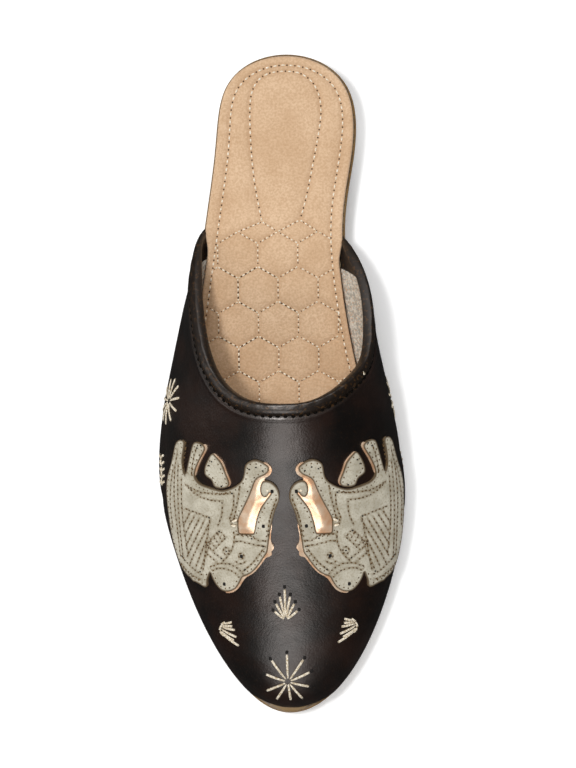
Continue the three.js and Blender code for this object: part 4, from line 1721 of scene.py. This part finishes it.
# %% The elephant's drawing
CHART_UNIT = 0.0493
BODY = (
    (405, 295), (418, 245), (445, 195), (485, 150), (530, 135), (575, 145), (612, 170), (640, 215),
    (655, 250), (690, 262), (740, 290), (790, 350), (830, 410), (852, 440), (862, 520), (868, 560),
    (885, 650), (910, 750), (945, 830), (950, 880), (935, 930), (900, 968), (850, 985), (825, 978),
    (808, 945), (805, 900), (820, 865), (850, 855), (880, 900), (890, 890), (850, 840), (800, 770),
    (770, 680), (752, 586), (748, 580), (644, 584), (638, 590), (635, 690), (655, 730), (700, 815),
    (740, 900), (770, 985), (800, 1010), (840, 1025), (870, 1050), (880, 1075), (860, 1105),
    (800, 1135), (760, 1140), (715, 1120), (695, 1095), (690, 1040), (680, 1000), (655, 965),
    (600, 930), (560, 915), (510, 905), (450, 920), (400, 935), (340, 955), (300, 1000),
    (310, 1060), (335, 1120), (370, 1180), (388, 1216), (365, 1243), (315, 1262), (283, 1250),
    (266, 1180), (252, 1110), (237, 1035), (226, 1018), (213, 1040), (200, 1110), (204, 1180),
    (214, 1240), (200, 1268), (165, 1270), (138, 1240), (128, 1180), (112, 1080), (90, 1010),
    (80, 930), (83, 800), (87, 680), (98, 520), (122, 385), (158, 300), (200, 255), (232, 238),
    (250, 212), (275, 208), (320, 186), (358, 166), (378, 180), (375, 220), (392, 258),
)
BENT_LEG = (
    (455, 935), (440, 985), (395, 1010), (380, 1035), (385, 1085), (410, 1140), (440, 1185),
    (470, 1160), (520, 1110), (545, 1040), (580, 960), (560, 930), (500, 920),
)
FOIL = (
    (510, 124), (578, 129), (622, 159), (654, 208), (680, 246), (744, 278), (797, 339), (838, 401),
    (870, 408), (886, 424), (876, 443), (898, 465), (902, 487), (880, 505), (874, 560), (889, 640),
    (884, 655), (885, 800), (900, 900), (850, 960), (835, 1000), (885, 1028), (902, 1072),
    (865, 1115), (800, 1120), (740, 1050), (680, 900), (620, 740), (600, 640), (600, 560),
    (640, 480), (600, 300), (540, 200),
)
LEG_FOIL = (
    ((470, 935), (455, 1100), (440, 1188), (475, 1163), (527, 1112), (552, 1041), (588, 961), (567, 930)),
    ((300, 990), (321, 1059), (345, 1118), (379, 1176), (399, 1219), (371, 1252), (330, 1200), (300, 1100)),
)
SEWN_LINES = (
    ((405, 325), (460, 350), (520, 355), (580, 345), (640, 300), (665, 262)),
    ((420, 300), (480, 318), (530, 312), (590, 290), (630, 250)),
    ((665, 300), (730, 350), (780, 410), (820, 460)),
    ((610, 525), (680, 518), (740, 500), (800, 490), (850, 480)),
    ((620, 578), (660, 575), (720, 568), (790, 532), (855, 530)),
    ((510, 370), (570, 440), (600, 520), (600, 600)), ((610, 372), (645, 350), (690, 375)),
    ((430, 450), (545, 560)), ((375, 490), (490, 610)), ((385, 430), (460, 370)),
    ((440, 440), (520, 380)), ((420, 460), (388, 502)), ((448, 488), (416, 530)),
    ((476, 516), (444, 560)), ((504, 544), (470, 588)), ((532, 562), (495, 606)),
    ((240, 350), (430, 690)), ((290, 330), (400, 560)), ((330, 310), (420, 520)),
    ((220, 400), (380, 690)), ((215, 480), (340, 700)), ((210, 560), (300, 720)),
    ((205, 640), (265, 740)), ((230, 770), (330, 735), (420, 705)),
    ((350, 300), (368, 400), (395, 560), (420, 700)), ((150, 345), (232, 272), (335, 222)),
    ((172, 400), (255, 318), (352, 258)), ((480, 640), (510, 720), (520, 830)),
    ((570, 690), (600, 780), (608, 890)), ((585, 640), (610, 720), (655, 940)),
    ((230, 950), (330, 870), (440, 835), (525, 830)),
    ((245, 940), (330, 900), (420, 885), (500, 880), (600, 890)),
    ((118, 620), (110, 850), (135, 1080)), ((160, 400), (150, 700), (142, 900), (160, 1200)),
    ((185, 380), (175, 700), (172, 1100)), ((230, 420), (205, 700), (200, 1000)),
    ((280, 1020), (290, 1120), (315, 1220)), ((205, 1060), (222, 1180), (222, 1270)),
    ((860, 560), (868, 650), (895, 760), (925, 850)),
)
SEWN_RINGS = (((655, 412), 22), ((540, 450), 26), ((605, 670), 28))
BIG_DOTS = ((517, 197), (825, 640), (655, 410), (895, 905))
DOTS = (
    (730, 1070), (780, 1085), (830, 1060), (515, 940), (420, 1090), (440, 1120), (320, 1215),
    (350, 1235), (680, 308), (175, 405), (195, 375), (325, 290), (540, 450), (500, 395), (735, 545),
    (820, 485), (490, 600), (415, 705), (595, 888), (190, 1270),
)
print("one elephant as drawn, mm:", (np.ptp(BODY, axis=0) * CHART_UNIT).round(1).tolist())

# %% From the drawing to the leather
CHART_OUT = 48.5
CHART_Y = -83.55
SEEN_REACH = 47.5
SEEN_SAMPLES = 96
seen_across = np.linspace(0, SEEN_REACH, SEEN_SAMPLES)
seen_as_arc = np.array([-arc_seen_at(PAIR_CENTRE_X - seen, PAIR_MIDDLE_Y) for seen in seen_across])


def from_chart(places):
    """Places on the drawing as a length out from the ridge and a place along the shoe, in millimetres."""
    places = np.asarray(places, float)
    out = np.interp(CHART_OUT - CHART_UNIT * places[..., 0], seen_across, seen_as_arc)
    return np.stack([out, CHART_Y + CHART_UNIT * places[..., 1]], -1)


# %% [markdown]
# The grey leather is a thin matt split with a soft mottle, burnt brown along its cut edge. The foil
# is a metal film on a soft backing, so its rose sheen is broken by small dents.

# %% Hide and foil finishes


def grey_hide():
    hide = Finish("grey_hide", {"Specular IOR Level": 0.3})
    cloud = hide.noise(160.0, 4.0)
    fine = hide.noise(1400.0, 2.0)
    base = hide.mix(hide.step(cloud, 0.3, 0.7), srgb(171, 164, 146), srgb(198, 192, 175))
    base = hide.mix(hide.step(fine, 0.45, 0.75) * 0.45, base, srgb(130, 112, 80))
    burnt = 1 - hide.step(hide.attribute("cut_gap") + (cloud - 0.5) * 0.3, 0.2, 0.85)
    pressed = 1 - hide.step(hide.attribute("sewn_gap") + (fine - 0.5) * 0.5, 0.2, 0.75)
    base = hide.mix(pressed * 0.55, base, srgb(112, 92, 58))
    hide.set("Base Color", hide.mix(burnt * 0.9, base, srgb(78, 56, 25)))
    hide.set("Roughness", 0.6 + fine * 0.2)
    hide.bump(fine * 0.6 + hide.cells(1500.0) * 0.4, 0.14, 0.5)
    return hide


def rose_foil():
    foil = Finish("rose_foil", {"Metallic": 0.48})
    dent = foil.noise(240.0, 3.0)
    rose = foil.mix(foil.step(dent, 0.3, 0.7), srgb(236, 184, 142), srgb(255, 226, 196))
    foil.set("Base Color", rose)
    foil.set("Roughness", 0.26 + foil.noise(700.0) * 0.16)
    foil.bump(dent, 0.35, 0.5)
    return foil


# %% Hide and foil pieces
HIDE_THICKNESS = 0.9
FOIL_THICKNESS = 0.5
HIDE_ROUNDING = 0.22
FOIL_ROUNDING = 0.24
FOIL_CELL = 1.0
HIDE_CELL = 0.85
SUNK = -0.1
HIDE_SWELL = 0.1
HIDE_SLOPE_WIDTH = 3
FOIL_SWELL = 0.8
FOIL_SLOPE_WIDTH = 2.5
SEWN_RING_POINTS = 25
CHART_SPACING = 8
FAR_AWAY = 999.0


def inside(points, outline):
    """Which points a closed outline holds, by counting how often a line from each crosses it."""
    x, y = points[:, :1], points[:, 1:2]
    ahead = np.roll(outline, -1, axis=0)
    rise = ahead[:, 1] - outline[:, 1]
    slope = (ahead[:, 0] - outline[:, 0]) / np.where(rise == 0, 1, rise)
    spans = (outline[:, 1] > y) != (ahead[:, 1] > y)
    return (spans & (x < outline[:, 0] + (y - outline[:, 1]) * slope)).sum(1) % 2 == 1


def hide_swell(flat, gap):
    return HIDE_SWELL * soft_step(gap, 0, HIDE_SLOPE_WIDTH)


def foil_swell(flat, _):
    """The foil stands up softly where the grey leather leaves it open."""
    cuts = [closed_outline(corners) for corners in (BODY, BENT_LEG)]
    covered = np.any([inside(flat, cut) for cut in cuts], axis=0)
    gap = np.where(covered, 0, nearest_gap(flat, np.concatenate(cuts)))
    return FOIL_SWELL * np.clip(gap / FOIL_SLOPE_WIDTH, 0, 1)


ring_turn = np.linspace(0, 2 * np.pi, SEWN_RING_POINTS)
round_ring = np.column_stack([np.cos(ring_turn), np.sin(ring_turn)])
hide_lines = [from_chart(rounded_path(line, CHART_SPACING)) for line in SEWN_LINES]
hide_lines += [from_chart(centre + radius * round_ring) for centre, radius in SEWN_RINGS]
hide_seams = np.concatenate(hide_lines)
no_seams = np.full((1, 2), FAR_AWAY)
foil_cuts = (FOIL, *LEG_FOIL)
foil_cut = applique(foil_cuts, FOIL_THICKNESS, FOIL_ROUNDING, SUNK, foil_swell, FOIL_CELL, no_seams)
finished_piece("elephant_foil", foil_cut, rose_foil(), sharp=40)
hide_cuts = (BODY, BENT_LEG)
hide_cut = applique(hide_cuts, HIDE_THICKNESS, HIDE_ROUNDING, SUNK, hide_swell, HIDE_CELL, hide_seams)
finished_piece("elephant_hide", hide_cut, grey_hide(), sharp=50)

# %% Sewing on the elephants
HIDE_PITCH = 1.7
HIDE_STITCH = 1.0
HIDE_THREAD = 0.3
CUT_INSET = 1.15
CUT_PITCH = 2.0
CUT_STITCH = 0.7
HAND_SEED = 7
HAND_SPREAD = 0.13
CURL = (850, 912)
CURL_CLEAR = 3.4
ROOM_SHARE = 0.85
HIDE_TOP = HIDE_THICKNESS + SUNK


def sewn_on_both(starts, ends, radius, lift, **shape):
    """The same stitches on both elephants."""
    sewn = bmesh.new()
    for hand in (-1, 1):
        flip = np.array([hand, 1])
        join(sewn, lay_threads(starts * flip, ends * flip, on_leather, radius, lift, **shape))
    bmesh.ops.recalc_face_normals(sewn, faces=sewn.faces[:])
    return sewn


def round_the_cut(corners):
    """Stitches that keep a set distance inside a cut edge, where there is room for them."""
    outline = closed_outline(corners)
    along = unit(np.roll(outline, -1, axis=0) - outline)
    aside = np.stack([-along[:, 1], along[:, 0]], -1) * CUT_INSET
    line = outline + aside
    if inside(line, outline).mean() < 0.5:
        line = outline - aside
    starts, ends = dashes(line, CUT_PITCH, CUT_STITCH)
    fits = inside(starts, outline) & (nearest_gap(starts, outline) > ROOM_SHARE * CUT_INSET)
    fits &= np.linalg.norm(starts - from_chart(CURL), axis=-1) > CURL_CLEAR
    return starts[fits], ends[fits]


hide_dashes = [dashes(line, HIDE_PITCH, HIDE_STITCH) for line in hide_lines]
hide_dashes += [round_the_cut(corners) for corners in (BODY, BENT_LEG)]
hide_starts, hide_ends = (np.concatenate([pair[k] for pair in hide_dashes]) for k in range(2))
uneven = np.random.default_rng(HAND_SEED)
hide_starts = hide_starts + uneven.normal(0, HAND_SPREAD, hide_starts.shape)
hide_ends = hide_ends + uneven.normal(0, HAND_SPREAD, hide_ends.shape)
hide_sewing = sewn_on_both(hide_starts, hide_ends, HIDE_THREAD, HIDE_TOP)
finished_piece("elephant_stitches", hide_sewing, hide_thread)
print("stitches on each elephant:", len(hide_starts))

# %% Knots and needle holes
DOT_LENGTH = 0.5
DOT_RADIUS = 0.42
BIG_DOT_RADIUS = 0.68
DOT_LIFT = 0.15
KNOT_RADIUS = 0.5
KNOT_LIFT = 0.3
KNOTS = (((582, 648), (622, 640)), ((588, 672), (630, 690)), ((856, 900), (866, 918)))
HOLE_SHAPE = {"flatness": 0.2, "bow": 0.1}
# Each kind of needle hole: its places on the drawing, half its length and its radius
HOLES = ((DOTS, DOT_LENGTH / 2, DOT_RADIUS), (BIG_DOTS, BIG_DOT_RADIUS, BIG_DOT_RADIUS))
knot_starts, knot_ends = np.moveaxis(from_chart(KNOTS), 1, 0)
knot_sewing = sewn_on_both(knot_starts, knot_ends, KNOT_RADIUS, HIDE_TOP + KNOT_LIFT)
finished_piece("elephant_knots", knot_sewing, quilt_cream)
# Each needle hole on the elephants is a flat dark spot: painted shade where the hole is.
dot_sewing = bmesh.new()
for places, half_length, radius in HOLES:
    dots = from_chart(places)
    half_dot = np.array([0, half_length])
    pricks = sewn_on_both(dots - half_dot, dots + half_dot, radius, HIDE_TOP + DOT_LIFT, **HOLE_SHAPE)
    join(dot_sewing, pricks)
finished_piece("elephant_dots", dot_sewing, needle_hole_shade)

# %% [markdown]
# ## The embroidery
# Stars and leaf sprigs are sewn by hand in thick cream thread: each ray and each leaf is one long
# straight stitch that dives into a needle hole. The holes at the tips of the upper toe rays and the
# middle sprig's leaves are flat dark spots of painted shade. The same stitch pattern as before is
# stretched from hole to hole, twice side by side where the thread was doubled.

# %% Where the stars and sprigs lie
RAY_FROM = 0.1
LEAF_FROM_SHARE = 0.12
STAR_TURN = 0.25
NEARER_EYE = 0.985
LEAN_SHIFT = 0.4
TOE_STAR = (2.05, -113.6)
TOE_STAR_RAYS = (
    (-0.2, 11.1), (-6.2, 8.8), (6.1, 9.1), (-8.5, 3.2), (8.5, 4.1), (-8.5, -3.5), (8.2, -1.7),
    (-4.7, -7.2), (0.9, -7.6), (5.5, -6.7),
)
MID_SPRIG = (1.6, -89.4)
MID_SPRIG_LEAVES = ((-0.2, 12.3), (-2.1, 9.4), (1.8, 9.4), (-3.6, 6.6), (3.4, 6.6), (-4.2, 3.6), (4.6, 3.8))
SIDE_SPRIG = (
    ((-22.2, -90.6), (-19.1, -90.0)), ((-23.0, -91.2), (-18.9, -91.6)),
    ((-23.3, -91.8), (-17.9, -93.1)), ((-23.5, -92.6), (-17.3, -95.9)),
    ((-23.5, -93.6), (-18.4, -97.2)), ((-23.2, -94.4), (-16.5, -99.3)),
    ((-21.9, -89.9), (-23.4, -91.2)), ((-23.4, -91.2), (-24.0, -93.4)),
    ((-24.0, -93.4), (-22.4, -95.4)),
)
SIDE_SPRIG_MIRROR_X = 2.3
SIDE_SPRIG_MIRROR_Y = 1.3
SIDE_STAR = (-42.5, -7.4)
SIDE_STAR_RADIUS = 8.8
SIDE_STAR_RAYS = 11
INNER_SIDE_SHIFT = 5.5
WALL_SPRIG = (-46.2, -33.0)
WALL_SPRIG_STEM = ((-1.2, 4.9), (0.1, 1.6), (0.8, -1.9), (0.6, -5.4))
WALL_SPRIG_LEAF = ((2.6, 1.0), (-2.6, 1.3))
WALL_SPRIG_ROWS = (4.6, 2.2, -0.2, -2.6, -4.8)


def seen_on_leather(places):
    """Places seen from above as lengths along the leather, drawn in because it is nearer the eye."""
    true = np.asarray(places, float) * NEARER_EYE + (LEAN_SHIFT, 0)
    return np.array([(arc_seen_at(x, y), y) for x, y in true])


def star_rays():
    """Starts and ends of every long stitch, on the unrolled leather."""
    lines = []
    toe = np.array(TOE_STAR)
    for ray in np.array(TOE_STAR_RAYS):
        lines.append(seen_on_leather((toe + RAY_FROM * ray, toe + ray)))
    root = np.array(MID_SPRIG)
    for leaf in np.array(MID_SPRIG_LEAVES):
        lines.append(seen_on_leather((root + LEAF_FROM_SHARE * leaf, root + leaf)))
    for leaf in np.array(SIDE_SPRIG):
        lines.append(seen_on_leather(leaf))
        lines.append(seen_on_leather(leaf * (-1, 1) + (2 * SIDE_SPRIG_MIRROR_X, SIDE_SPRIG_MIRROR_Y)))
    star = seen_on_leather([SIDE_STAR])[0]
    sprig = seen_on_leather([WALL_SPRIG])[0]
    further = {-1: np.array([0, 0]), 1: np.array([INNER_SIDE_SHIFT, 0])}
    for hand in (-1, 1):
        flip = np.array([-hand, 1])
        for k in range(SIDE_STAR_RAYS):
            angle = 2 * np.pi * (k + STAR_TURN) / SIDE_STAR_RAYS
            ray = SIDE_STAR_RADIUS * np.array([math.cos(angle), math.sin(angle)])
            lines.append(np.array((star + RAY_FROM * ray, star + ray)) * flip + further[hand])
        stem = np.array(WALL_SPRIG_STEM)
        for start, end in zip(stem[:-1], stem[1:]):
            lines.append(np.array((sprig + start, sprig + end)) * flip + further[hand])
        for y in WALL_SPRIG_ROWS:
            root = sprig + (np.interp(y, stem[::-1, 1], stem[::-1, 0]), y)
            for leaf in np.array(WALL_SPRIG_LEAF):
                lines.append(np.array((root, root + leaf)) * flip + further[hand])
    return np.array(lines)


long_stitches = star_rays()
print("long stitches:", len(long_stitches))

# %% Long stitches and their holes
STAR_THREAD = 0.32
STAR_LIFT = 0.3
STAR_APART = 0.42
DRAWN_TOGETHER = 0.4
HOLE_RADIUS = 0.7
HOLE_LIFT = 0.08
HOLED_RAYS = 5


def doubled(lines, apart):
    """Lays each stitch twice, side by side, closer together at its inner end."""
    along = unit(lines[:, 1] - lines[:, 0])
    aside = np.stack([-along[:, 1], along[:, 0]], -1) * apart / 2
    closer = DRAWN_TOGETHER * aside
    inner = np.concatenate([lines[:, 0] - closer, lines[:, 0] + closer])
    return inner, np.concatenate([lines[:, 1] - aside, lines[:, 1] + aside])


embroidery = lay_threads(*doubled(long_stitches, STAR_APART), on_leather, STAR_THREAD, STAR_LIFT)
finished_piece("embroidery", embroidery, cream_thread)
holed = np.concatenate([np.arange(HOLED_RAYS), len(TOE_STAR_RAYS) + np.arange(len(MID_SPRIG_LEAVES))])
holed_lines = long_stitches[holed]
tips = holed_lines[:, 1] + unit(holed_lines[:, 1] - holed_lines[:, 0]) * HOLE_RADIUS
half_hole = np.array([0, HOLE_RADIUS])
hole_ends = (tips - half_hole, tips + half_hole)
# The holes at the ray tips are flat dark spots: painted shade where the holes are.
tip_holes = lay_threads(*hole_ends, on_leather, HOLE_RADIUS, HOLE_LIFT, **HOLE_SHAPE)
finished_piece("embroidery_holes", tip_holes, needle_hole_shade)
